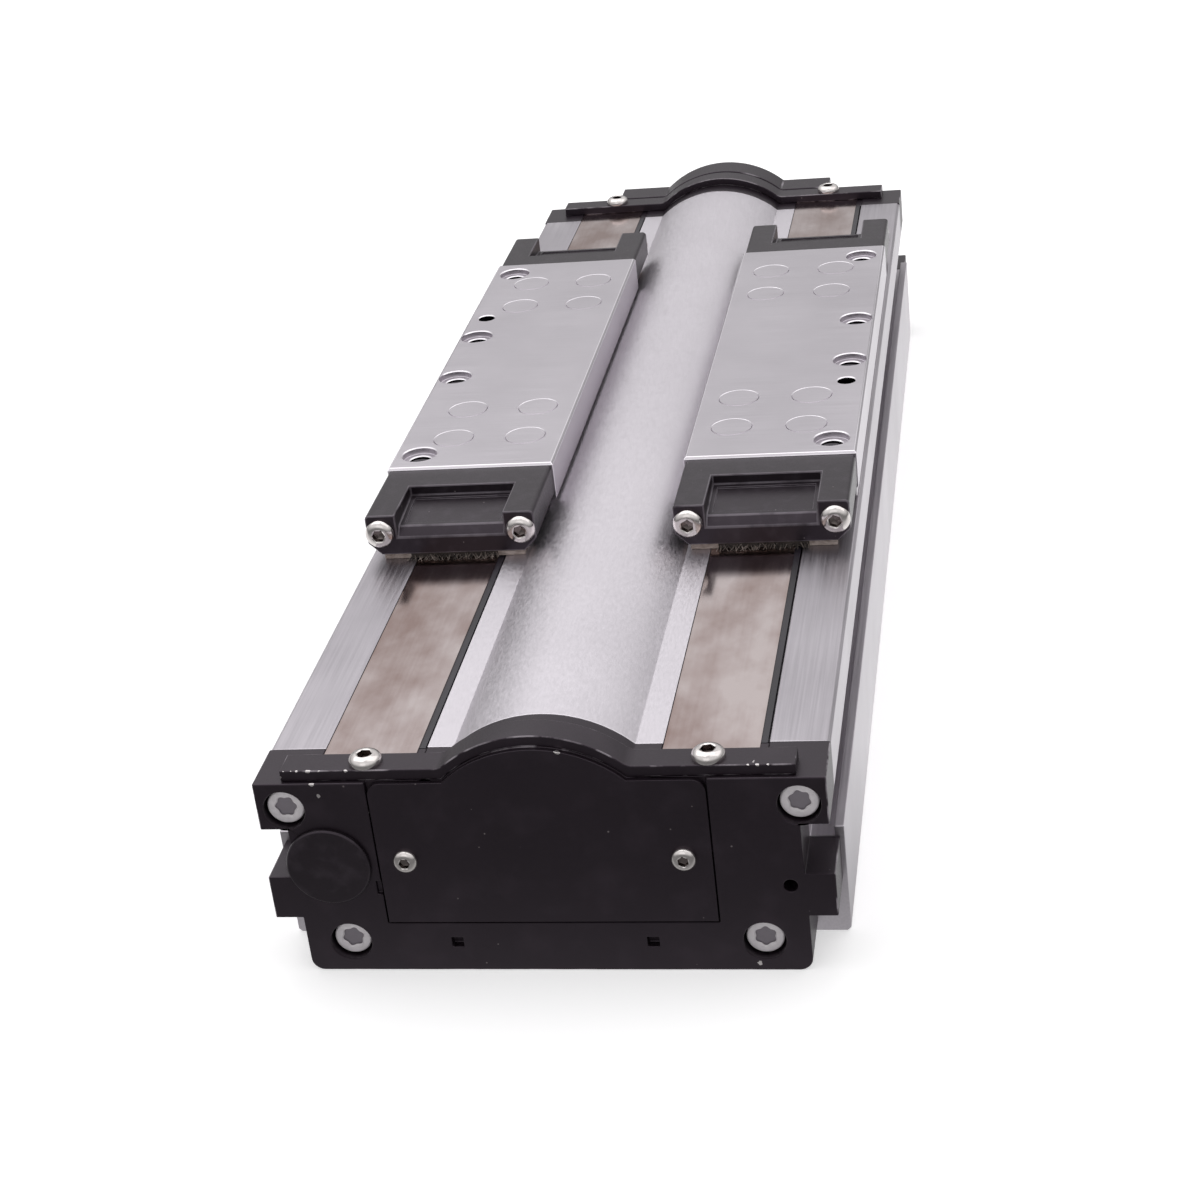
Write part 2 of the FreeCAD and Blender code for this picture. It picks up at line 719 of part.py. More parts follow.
def guide_rail(side):
    w = rail_width / 2
    groove_low = rail_foot + rail_waist
    groove_high = groove_low + rail_groove
    points = [(w, 0), (w, rail_foot), (w - rail_waist, groove_low), (w - rail_waist, groove_high),
              (w, groove_high + rail_waist), (w, rail_height - rail_edge), (w - rail_edge, rail_height)]
    full = points + [(-x, z) for x, z in points[::-1]]
    placed = [(x + side * rail_offset, z + pedestal_height) for x, z in full]
    end = profile_end - rail_end_gap
    solid = profile(placed, (-end, end))
    shank, head, height = screw_m3_cap
    top = pedestal_height + rail_height
    for x, y in rail_screw_places():
        if x * side > 0:
            solid = solid.cut(rod_z(shank + hole_gap, x, y, pedestal_height, top))
            solid = solid.cut(rod_z(head + hole_gap, x, y, top - height - head_drop, top))
    return solid


def rail_screws():
    head = pedestal_height + rail_height - screw_m3_cap[2] - head_drop
    return group([screw_z(screw_m3_cap, x, y, head, head - pedestal_height + thread_m3)
                  for x, y in rail_screw_places()])


def bearing(y_start, width):
    # both rings and the seals between them
    ring = rod_y(bearing_radius, 0, screw_height, y_start, y_start + width)
    for y in (y_start, y_start + width - bearing_seal):
        seal = rod_y(bearing_radius - bearing_ring, 0, screw_height, y, y + bearing_seal)
        hub = rod_y(journal_radius + bearing_ring, 0, screw_height, y, y + bearing_seal)
        ring = ring.cut(seal.cut(hub))
    return ring.cut(rod_y(journal_radius + running_gap, 0, screw_height, y_start, y_start + width))


def travel_bumpers():
    bumpers = []
    for side in (-1, 1):
        for end in (-1, 1):
            x, z = side * rail_offset, bumper_height
            pad = rod_y(bumper_radius, x, z, end * profile_end, end * (profile_end - bumper_length))
            stem = rod_y(bumper_stem - thread_gap, x, z, end * profile_end,
                         end * (profile_end + bumper_thread))
            bumpers.append(pad.fuse(stem))
    return group(bumpers)


# Ball screw
def ball_screw():
    thread_end = profile_end - rail_end_gap
    nut_end = half_length + locknut_gap + locknut_width
    solid = rod_y(screw_radius, 0, screw_height, -thread_end, thread_end)
    front = -half_length + bearing_inset + bearing_seal
    parts = [rod_y(journal_radius, 0, screw_height, front, -thread_end),
             rod_y(journal_radius, 0, screw_height, thread_end, nut_end + journal_spare),
             rod_y(stub_radius, 0, screw_height, nut_end, drive_face + stub_length)]
    solid = solid.fuse(parts).removeSplitter()
    tip = [e for e in solid.Edges if abs(e.CenterOfMass.y - drive_face - stub_length) < 0.01]
    return solid.makeChamfer(stub_edge, tip)


def screw_locknut():
    start = half_length + locknut_gap
    half_slot = locknut_slot / 2
    nut = rod_y(locknut_radius, 0, screw_height, start, start + locknut_width)
    for turn in range(4):
        slot = box((-half_slot, half_slot), (start, start + locknut_width),
                   (locknut_radius - half_slot, locknut_radius + half_slot))
        slot.rotate(vec(0, 0, 0), vec(0, 1, 0), 90 * turn)
        slot.translate(vec(0, 0, screw_height))
        nut = nut.cut(slot)
    return nut.cut(rod_y(journal_radius + thread_gap, 0, screw_height, start, start + locknut_width))


# Carriage, modelled about its own centre and moved to its place at the end
def saddle():
    web_in = web_slot_inner + web_gap
    web_out = web_slot_outer - web_gap
    half = [(0, block_top), (saddle_half_width, block_top), (saddle_half_width, saddle_top),
            (web_out, saddle_top), (web_out, table_bottom), (table_outer, table_bottom),
            (table_outer, plate_bottom), (table_inner, plate_bottom), (table_inner, table_bottom),
            (web_in, table_bottom), (web_in, saddle_top), (0, saddle_top)]
    solid = mirror_profile(half, (-plate_half, plate_half))
    boss_start = -plate_half
    boss_end = boss_start + boss_length
    boss_bottom = trough_floor + boss_gap
    half_boss = nut_screw_places()[-1][0] + boss_wall
    boss = profile([(-half_boss, boss_bottom), (half_boss, boss_bottom), (half_boss, block_top),
                    (-half_boss, block_top)], (boss_start, boss_end))
    solid = solid.fuse(boss).removeSplitter()
    relief = screw_radius + screw_relief
    solid = solid.cut(rod_y(relief, 0, screw_height, -plate_half, plate_half))
    nut_seat = boss_start + nut_length
    solid = solid.cut(rod_y(nut_radius + running_gap, 0, screw_height, boss_start, nut_seat))
    for x, z in nut_screw_places():
        solid = solid.cut(rod_y(screw_m4_cap[0] + thread_gap, x, z, boss_start,
                                boss_start + thread_m4 + thread_spare))
    for x, y in block_screw_places():
        head = saddle_top - screw_m3_cap[2] - head_drop
        solid = solid.cut(rod_z(screw_m3_cap[0] + hole_gap, x, y, block_top, saddle_top))
        solid = solid.cut(rod_z(screw_m3_cap[1] + hole_gap, x, y, head, saddle_top))
    for x, y in plate_screw_places():
        solid = solid.cut(flat_head_hole(x, y))
    for x, y in plate_dowel_places():
        solid = solid.cut(rod_z(plate_dowel_radius, x, y, table_bottom, plate_bottom))
    return solid


def nut_screw_places():
    places = []
    for side in (-1, 1):
        for lift in (-1, 1):
            angle = math.radians(nut_screw_angle)
            places.append((side * nut_screw_radius * math.cos(angle),
                           screw_height + lift * nut_screw_radius * math.sin(angle)))
    return places


def block_screw_places():
    h = block_hole_spacing / 2
    return [(side * rail_offset + dx, end * block_spacing / 2 + dy)
            for side, end in block_places for dx in (-h, h) for dy in (-h, h)]


def plate_screw_places():
    return [(side * plate_screw_offset, row * plate_screw_pitch) for side in (-1, 1)
            for row in (-1, 0, 1)]


def plate_dowel_places():
    return [(side * plate_dowel_offset, end * plate_dowel_pitch / 2) for side in (-1, 1)
            for end in (-1, 1)]


def flat_head_hole(x, y):
    shank, head, height = screw_m4_flat
    hole = rod_z(shank + hole_gap, x, y, table_bottom, plate_bottom)
    cone = Part.makeCone(head + hole_gap, shank + hole_gap, height, vec(x, y, table_bottom))
    return hole.fuse(cone)


def plate_screws():
    shank, head, height = screw_m4_flat
    screws = []
    for x, y in plate_screw_places():
        cone = Part.makeCone(head, shank, height, vec(x, y, table_bottom))
        body = rod_z(shank, x, y, table_bottom, plate_bottom + thread_m3)
        screws.append(cone.fuse(body).removeSplitter())
    return group(screws)


def plate_dowels():
    gap = thread_gap
    return group([rod_z(plate_dowel_radius - gap, x, y, table_bottom, table_bottom + plate_dowel_length)
                  for x, y in plate_dowel_places()])


def carriage_plate():
    # the plate on the +X side; the other is the same part turned half round
    solid = box((plate_inner, plate_outer), (-plate_half, plate_half), (plate_bottom, plate_top))
    rim = [e for e in solid.Edges if abs(e.BoundBox.ZMin - plate_top) < 0.01
           and abs(e.BoundBox.ZMax - plate_top) < 0.01]
    solid = solid.makeChamfer(plate_bevel, rim)
    cuts = [box((channel_inner, channel_outer), (-plate_half, plate_half), (plate_bottom, channel_roof))]
    for end in (-1, 1):
        middle = end * block_spacing / 2
        cuts.append(box((rail_offset - shoe_half_width, rail_offset + shoe_half_width),
                        (middle - shoe_half_length, middle + shoe_half_length),
                        (plate_bottom, shoe_pocket_roof)))
        for x in (cap_inner + cap_screw_inset, cap_outer - cap_screw_inset):
            cuts.append(rod_y(screw_m4_button[0] + thread_gap, x, cap_screw_height,
                              end * plate_half, end * (plate_half - cap_screw_grip - thread_spare)))
    for x, y in mount_hole_places():
        cuts.append(rod_z(mount_hole_radius, x, y, plate_bottom, plate_top))
        cuts.append(rod_z(mount_ring_radius, x, y, plate_top - mount_ring_depth, plate_top))
    cuts.append(rod_z(dowel_hole_radius, inner_hole_offset, -dowel_hole_shift,
                      plate_top - dowel_hole_depth, plate_top))
    for x, y in shoe_screw_places():
        cuts.append(rod_z(plate_plug_radius + running_gap, x, y, plate_top - plate_plug_thickness,
                          plate_top))
        cuts.append(rod_z(screw_m3_cap[1] + head_gap, x, y, plug_floor, plate_top))
        cuts.append(rod_z(screw_m3_cap[0] + hole_gap, x, y, shoe_pocket_roof, plug_floor))
    for x, y in plate_screw_places():
        if x > 0:
            cuts.append(rod_z(screw_m4_flat[0] + thread_gap, x, y, plate_bottom,
                              plate_bottom + thread_m3 + head_drop))
    for x, y in plate_dowel_places():
        if x > 0:
            cuts.append(rod_z(plate_dowel_radius, x, y, plate_bottom,
                              table_bottom + plate_dowel_length + head_drop))
    return solid.cut(cuts)


def mount_hole_places():
    rows = [(plate_outer - outer_hole_inset, outer_hole_pitch), (inner_hole_offset, inner_hole_pitch)]
    return [(x, end * pitch / 2) for x, pitch in rows for end in (-1, 1)]


def shoe_screw_places():
    return [(x, y) for x, y in block_screw_places() if x > 0]


def plate_plugs():
    low = plate_top - plate_plug_thickness
    return group([rod_z(plate_plug_radius, x, y, low, plate_top) for x, y in shoe_screw_places()])


def band_guide_shoes():
    shoes = []
    for side, end in block_places:
        x, y = side * rail_offset, end * block_spacing / 2
        half_width = shoe_half_width - shoe_gap
        half_long = shoe_half_length - shoe_gap
        shoe = box((x - half_width, x + half_width), (y - half_long, y + half_long),
                   (shoe_pocket_roof - shoe_thickness, shoe_pocket_roof))
        lead = [e for e in shoe.Edges if e.BoundBox.XLength > 1
                and e.BoundBox.ZMax < shoe_pocket_roof - shoe_thickness + 0.01]
        shoe = shoe.makeFillet(shoe_lead, lead)
        for hx, hy in block_screw_places():
            if abs(hx - x) < block_hole_spacing and abs(hy - y) < block_hole_spacing:
                shoe = shoe.cut(rod_z(screw_m3_cap[0] + thread_gap, hx, hy, 0, plate_top))
        shoes.append(shoe)
    return group(shoes)


def shoe_screws():
    reach = plug_floor - shoe_pocket_roof + shoe_thickness - head_drop
    return group([screw_z(screw_m3_cap, x, y, plug_floor, reach) for x, y in block_screw_places()])


def guide_block(side, end):
    x, y = side * rail_offset, end * block_spacing / 2
    w = block_width / 2
    g = guide_gap
    r = rail_width / 2
    groove_high = rail_foot + rail_waist + rail_groove
    points = [(w, block_lift), (w, block_stack - block_edge), (w - block_edge, block_stack)]
    inner = [(r + g, rail_height + g), (r + g, groove_high + rail_waist - g / 2),
             (r - rail_waist + g, groove_high - g / 2), (r - rail_waist + g, block_lift)]
    right = inner + points
    ring = right + [(-px, pz) for px, pz in right[::-1]]
    placed = [(px + x, pz + pedestal_height) for px, pz in ring]
    solid = profile(placed, (y - block_length / 2, y + block_length / 2))
    for hx, hy in block_screw_places():
        if abs(hx - x) < block_hole_spacing and abs(hy - y) < block_hole_spacing:
            solid = solid.cut(rod_z(screw_m3_cap[0] + thread_gap, hx, hy,
                                    block_top - block_thread - head_drop, block_top))
    return solid


def block_screws():
    head = saddle_top - screw_m3_cap[2] - head_drop
    reach = head - block_top + block_thread
    return group([screw_z(screw_m3_cap, x, y, head, reach) for x, y in block_screw_places()])


def ball_nut():
    start = -plate_half
    body = rod_y(nut_radius, 0, screw_height, start, start + nut_length)
    disc = rod_y(nut_flange_radius, 0, screw_height, start - nut_flange_thickness, start)
    flats = box((-nut_flange_radius, nut_flange_radius), (start - nut_flange_thickness, start),
                (screw_height - nut_flange_half_height, screw_height + nut_flange_half_height))
    nut = body.fuse(disc.common(flats)).removeSplitter()
    nut = nut.cut(rod_y(screw_radius + running_gap, 0, screw_height, start - nut_flange_thickness,
                        start + nut_length))
    for x, z in nut_screw_places():
        nut = nut.cut(rod_y(screw_m4_cap[0] + hole_gap, x, z, start - nut_flange_thickness, start))
    return nut


def nut_screws():
    head = -plate_half - nut_flange_thickness
    return group([screw_y(screw_m4_cap, x, z, head, nut_flange_thickness + thread_m4, -1)
                  for x, z in nut_screw_places()])


# Band caps: one shape, made for the end at -Y about its own middle line
def band_cap(side, end):
    half = cap_half
    pocket = half - cap_lug
    r = cap_corner
    s = r * (1 - math.sqrt(0.5))
    back = -plate_half
    front = back - cap_depth
    half_points = [(0, cap_bottom), (half - cap_bevel, cap_bottom), (half, cap_bottom + cap_bevel),
                   (half, cap_top - r), (half - r, cap_top, half - s, cap_top - s), (0, cap_top)]
    solid = mirror_profile(half_points, (front, back))
    wall = back - cap_wall
    foot = front + cap_lip - cap_floor_front
    fall = (cap_floor_front - cap_floor_back) / (wall - foot)
    slope = [(wall, cap_top - cap_floor_back), (foot, cap_top - cap_floor_front),
             (front, cap_top - cap_lip), (front, cap_top), (wall, cap_top)]
    ends = (wall - cap_panel_inset, foot + cap_panel_inset)
    panel = [(y, cap_top - cap_floor_back - (wall - y) * fall - cap_panel_depth) for y in ends]
    panel += [(y, cap_top) for y in reversed(ends)]
    cuts = [side_prism(slope, pocket), side_prism(panel, pocket - cap_panel_inset)]
    cuts.append(box((-pocket, pocket), (back - cap_channel_depth, back), (cap_bottom, channel_roof)))
    cuts.append(wiper_body())
    for place in (-1, 1):
        cuts.append(rod_y(screw_m4_button[0] + hole_gap, place * (half - cap_screw_inset),
                          cap_screw_height, front, back))
    solid = solid.cut(cuts)
    return place_cap(solid, side, end)


# Prism of a side view, as wide as half on each side of the middle
def side_prism(points, half):
    face = Part.Face(Part.makePolygon([vec(-half, y, z) for y, z in points + points[:1]]))
    return face.extrude(vec(2 * half, 0, 0))


def place_cap(shape, side, end):
    copy = shape.copy() if end < 0 else turned(shape)
    copy.translate(vec(side * cap_centre, 0, 0))
    return copy


def wiper_body():
    half = cap_half - cap_bevel - wiper_side
    front = -plate_half - cap_depth + wiper_inset
    return box((-half, half), (front, front + wiper_depth), (body_height + wiper_clearance, wiper_top))


def band_wiper(side, end):
    return place_cap(wiper_body(), side, end)


def cap_screws():
    front = plate_half + cap_depth
    half = cap_half - cap_screw_inset
    return group([button_y(screw_m4_button, side * cap_centre + place * half, cap_screw_height,
                           end * front, cap_depth + cap_screw_grip, end)
                  for side, end in block_places for place in (-1, 1)])


def on_carriage(shape):
    copy = shape.copy()
    copy.translate(vec(0, carriage_rest, 0))
    return copy


side_names = {-1: "left", 1: "right"}
end_names = {-1: "front", 1: "rear"}

nodes = {
    "base_profile": base_profile(),
    "centre_cover": centre_cover(),
    "magnet_strips": magnet_strips(),
    "front_end_block": front_end_block(),
    "rear_end_block": rear_end_block(),
    "front_cover_plate": front_cover_plate(),
    "drive_flange": drive_flange(),
    "access_plug": access_plug(),
    "front_band_clamp": band_clamp(-1),
    "rear_band_clamp": band_clamp(1),
    "band_clamp_screws": band_clamp_screws(),
    "cover_plate_screws": cover_plate_screws(),
    "end_block_screws": end_block_screws(),
    "cover_foot_screws": cover_foot_screws(),
    "flange_screws": flange_screws(),
    "rail_screws": rail_screws(),
    "front_bearing": bearing(-half_length + bearing_inset, front_bearing_width),
    "drive_bearing": bearing(half_length - drive_bearing_width, drive_bearing_width),
    "travel_bumpers": travel_bumpers(),
    "ball_screw": ball_screw(),
    "screw_locknut": screw_locknut(),
}
for side, name in side_names.items():
    nodes["guide_rail_" + name] = guide_rail(side)
    nodes["cover_band_" + name] = cover_band(side)

carriage_nodes = {
    "carriage_saddle": saddle(),
    "carriage_plate_right": carriage_plate(),
    "carriage_plate_left": turned(carriage_plate()),
    "plate_plugs_right": plate_plugs(),
    "plate_plugs_left": turned(plate_plugs()),
    "plate_screws": plate_screws(),
    "plate_dowels": plate_dowels(),
    "band_guide_shoes": band_guide_shoes(),
    "shoe_screws": shoe_screws(),
    "block_screws": block_screws(),
    "ball_nut": ball_nut(),
    "nut_screws": nut_screws(),
    "band_cap_screws": cap_screws(),
}
for side, end in block_places:
    place = end_names[end] + "_" + side_names[side]
    carriage_nodes["guide_block_" + place] = guide_block(side, end)
    carriage_nodes["band_cap_" + place] = band_cap(side, end)
    carriage_nodes["band_wiper_" + place] = band_wiper(side, end)

for name, shape in carriage_nodes.items():
    nodes[name] = on_carriage(shape)

os.makedirs("parts", exist_ok=True)
for name, shape in nodes.items():
    shape.exportStep("parts/" + name + ".step")
    print(name, "solids", len(shape.Solids), "valid", shape.isValid())
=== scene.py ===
import json
import math
import random

import bmesh
import bpy
from mathutils import Matrix, Vector


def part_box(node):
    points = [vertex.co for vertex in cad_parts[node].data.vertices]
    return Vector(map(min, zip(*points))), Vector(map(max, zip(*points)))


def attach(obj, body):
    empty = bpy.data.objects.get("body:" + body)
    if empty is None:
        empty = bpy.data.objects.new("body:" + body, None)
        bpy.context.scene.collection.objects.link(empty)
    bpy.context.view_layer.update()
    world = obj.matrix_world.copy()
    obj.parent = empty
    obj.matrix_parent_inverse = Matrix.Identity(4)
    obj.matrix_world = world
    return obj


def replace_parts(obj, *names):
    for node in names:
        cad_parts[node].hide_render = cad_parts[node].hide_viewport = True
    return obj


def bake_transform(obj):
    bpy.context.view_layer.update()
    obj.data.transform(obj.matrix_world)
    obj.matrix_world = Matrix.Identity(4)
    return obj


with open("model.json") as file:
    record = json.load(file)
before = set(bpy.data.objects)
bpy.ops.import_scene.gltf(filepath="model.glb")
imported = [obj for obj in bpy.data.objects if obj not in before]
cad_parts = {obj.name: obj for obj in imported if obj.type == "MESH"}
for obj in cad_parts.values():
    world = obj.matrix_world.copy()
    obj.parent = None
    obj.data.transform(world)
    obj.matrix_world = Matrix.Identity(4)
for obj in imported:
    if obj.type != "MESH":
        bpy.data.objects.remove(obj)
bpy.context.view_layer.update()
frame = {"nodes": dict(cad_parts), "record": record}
mm = 0.001
print("frame loaded")

# What the finishes share, with sizes in millimetres. A range is the part of the noise that counts.
finish = {
    "toneRange": (0.35, 0.65),
    "glossRange": (0.3, 0.7),
    "glossSpread": (0.85, 1.2),
    "smearRange": (0.50, 0.80),
    "rubbedPatch": (7, 7, 7),
    "rubbedMost": 0.8,
    "dustApart": 5.5,
    "dustRadius": 0.17,
    "dustSoftness": 1.5,
    "chipRagged": 0.9,
    "chipColour": "#cfcaca",
}


def hexColour(text):  # sRGB hex to linear
    channels = [int(text[i:i + 2], 16) / 255 for i in (1, 3, 5)]
    linear = [c / 12.92 if c <= 0.04045 else ((c + 0.055) / 1.055) ** 2.4 for c in channels]
    return (*linear, 1.0)


def addNode(tree, kind, settings=None, inputs=None):
    node = tree.nodes.new(kind)
    for name, value in (settings or {}).items():
        setattr(node, name, value)
    for name, value in (inputs or {}).items():
        if isinstance(value, bpy.types.NodeSocket):
            tree.links.new(value, node.inputs[name])
        else:
            node.inputs[name].default_value = value
    return node


def pattern(tree, place, size, detail=3.0):
    # noise whose grain has the given size in millimetres along X, Y and Z
    scale = [1 / (s * mm) for s in size]
    mapped = addNode(tree, "ShaderNodeMapping", {}, {"Vector": place, "Scale": scale})
    noise = addNode(tree, "ShaderNodeTexNoise", {},
                    {"Vector": mapped.outputs["Vector"], "Scale": 1.0, "Detail": detail})
    return noise.outputs["Fac"]


def dustSpecks(tree, place):
    # 1 inside small specks, a few millimetres apart
    apart, radius, soft = finish["dustApart"], finish["dustRadius"], finish["dustSoftness"]
    cells = addNode(tree, "ShaderNodeTexVoronoi", {}, {"Vector": place, "Scale": 1 / (apart * mm)})
    specks = addNode(tree, "ShaderNodeMapRange", {}, {
        "Value": cells.outputs["Distance"], "From Min": radius / apart, "From Max": soft * radius / apart,
        "To Min": 1.0, "To Max": 0.0})
    return specks.outputs["Result"]


def bareSpots(tree, place, marks):
    # 1 inside any of the small ragged marks, each a place and a radius in millimetres
    size = finish["chipRagged"]
    ragged = addNode(tree, "ShaderNodeTexNoise", {}, {"Vector": place, "Scale": 1 / (size * mm)})
    shift = addNode(tree, "ShaderNodeVectorMath", {"operation": "MULTIPLY_ADD"},
                    {0: ragged.outputs["Color"], 1: (size * mm,) * 3, 2: place}).outputs["Vector"]
    inside = []
    for x, y, z, radius in marks:
        middle = [(value + size / 2) * mm for value in (x, y, z)]
        away = addNode(tree, "ShaderNodeVectorMath", {"operation": "DISTANCE"}, {0: shift, 1: middle})
        near = addNode(tree, "ShaderNodeMath", {"operation": "LESS_THAN"},
                       {0: away.outputs["Value"], 1: radius * mm})
        inside.append(near.outputs[0])
    total = inside[0]
    for mark in inside[1:]:
        total = addNode(tree, "ShaderNodeMath", {"operation": "MAXIMUM"}, {0: total, 1: mark}).outputs[0]
    return total


def rubbedAndHighlitEdges(tree, place, start, end):
    # patches along the rounded edges, where the noise goes from start to end: bare metal on
    # the metals, a painted highlight on the black plastic
    edge = addNode(tree, "ShaderNodeAttribute", {"attribute_name": "edgeWear"})
    patchy = addNode(tree, "ShaderNodeMapRange", {}, {
        "Value": pattern(tree, place, finish["rubbedPatch"], detail=5.0), "From Min": start,
        "From Max": end, "To Max": finish["rubbedMost"]})
    both = addNode(tree, "ShaderNodeMath", {"operation": "MULTIPLY"},
                   {0: edge.outputs["Fac"], 1: patchy.outputs["Result"]})
    return both.outputs[0]


def surface(name, dark, light, rough, grain, depth, metallic=1.0, cloud=(35, 35, 35), grainShare=0.45,
            ior=None, tint=None, wave=None, dust=None, smear=None, edge=None, chipped=(), recess=None):
    # grain and cloud are the sizes of the fine and the broad pattern, and depth is how deep the
    # grain goes. wave is a size and a height, smear a colour and a size, edge a colour and where
    # its patches start and end, and dust is a colour. recess is the colour of painted shade in
    # hollows, on the felt also of oil, and edge is a painted highlight on the black plastic.
    material = bpy.data.materials.new(name)
    material.use_nodes = True
    tree = material.node_tree
    shader = tree.nodes["Principled BSDF"]
    shader.inputs["Metallic"].default_value = metallic
    if ior:
        shader.inputs["IOR"].default_value = ior
    if tint:
        shader.inputs["Specular Tint"].default_value = hexColour(tint)
    place = addNode(tree, "ShaderNodeTexCoord").outputs["Object"]
    lines = pattern(tree, place, grain)
    clouds = pattern(tree, place, cloud, detail=4.0)
    both = addNode(tree, "ShaderNodeMix", {}, {"Factor": grainShare, "A": clouds, "B": lines})
    start, end = finish["toneRange"]
    tone = addNode(tree, "ShaderNodeMapRange", {}, {
        "Value": both.outputs["Result"], "From Min": start, "From Max": end})
    colour = addNode(tree, "ShaderNodeMix", {"data_type": "RGBA"}, {
        0: tone.outputs["Result"], 6: hexColour(dark), 7: hexColour(light)}).outputs[2]
    layers = []
    # Painted shade in the hollows that the mesh marks, on the felt also oil
    if recess:
        inside = addNode(tree, "ShaderNodeAttribute", {"attribute_name": "recess"})
        layers.append((inside.outputs["Fac"], recess))
    if dust:
        layers.append((dustSpecks(tree, place), dust))
    if smear:
        start, end = finish["smearRange"]
        rubbed = addNode(tree, "ShaderNodeMapRange", {}, {
            "Value": pattern(tree, place, smear[1], detail=6.0), "From Min": start, "From Max": end})
        layers.append((rubbed.outputs["Result"], smear[0]))
    # Edge colour: bare metal on the metals, a painted highlight on the black plastic
    if edge:
        layers.append((rubbedAndHighlitEdges(tree, place, *edge[1:]), edge[0]))
    if chipped:
        bare = bareSpots(tree, place, chipped)
        layers.append((bare, finish["chipColour"]))
        tree.links.new(bare, shader.inputs["Metallic"])
    for mask, text in layers:
        colour = addNode(tree, "ShaderNodeMix", {"data_type": "RGBA"}, {
            0: mask, 6: colour, 7: hexColour(text)}).outputs[2]
    tree.links.new(colour, shader.inputs["Base Color"])
    (start, end), (low, high) = finish["glossRange"], finish["glossSpread"]
    gloss = addNode(tree, "ShaderNodeMapRange", {}, {
        "Value": lines, "From Min": start, "From Max": end, "To Min": rough * low, "To Max": rough * high})
    tree.links.new(gloss.outputs["Result"], shader.inputs["Roughness"])
    bump = addNode(tree, "ShaderNodeBump", {}, {"Height": lines, "Distance": depth * mm})
    if wave:
        broad = addNode(tree, "ShaderNodeBump", {}, {
            "Height": pattern(tree, place, wave[0], detail=1.0), "Distance": wave[1] * mm})
        tree.links.new(broad.outputs["Normal"], bump.inputs["Normal"])
    tree.links.new(bump.outputs["Normal"], shader.inputs["Normal"])
    return material


# Where the black coat is chipped to the bare metal: the place and the radius in millimetres
chips = [(-50.0, -196.3, 52.1, 0.55), (-41.5, -196.3, 52.1, 0.4), (-52.6, -196.3, 52.1, 0.3),
         (6.2, -197.4, 56.8, 0.75), (-49.2, -197.5, 49.4, 0.6), (-48.3, -197.5, 46.3, 0.45),
         (46.5, -196.3, 52.1, 0.35), (48.5, -196.3, 52.1, 0.45), (50.8, -196.3, 52.1, 0.3),
         (45.4, -197.5, 1.9, 0.5), (47.6, -195.2, 52.1, 0.25), (47.7, -194.6, 52.1, 0.25),
         (56.9, -196.3, 51.0, 0.3), (-56.6, -196.2, 50.6, 0.35), (-55.6, -196.3, 52.1, 0.18),
         (-53.9, -196.3, 52.1, 0.15), (-47.6, -196.3, 52.1, 0.17), (-44.9, -196.3, 52.1, 0.14)]

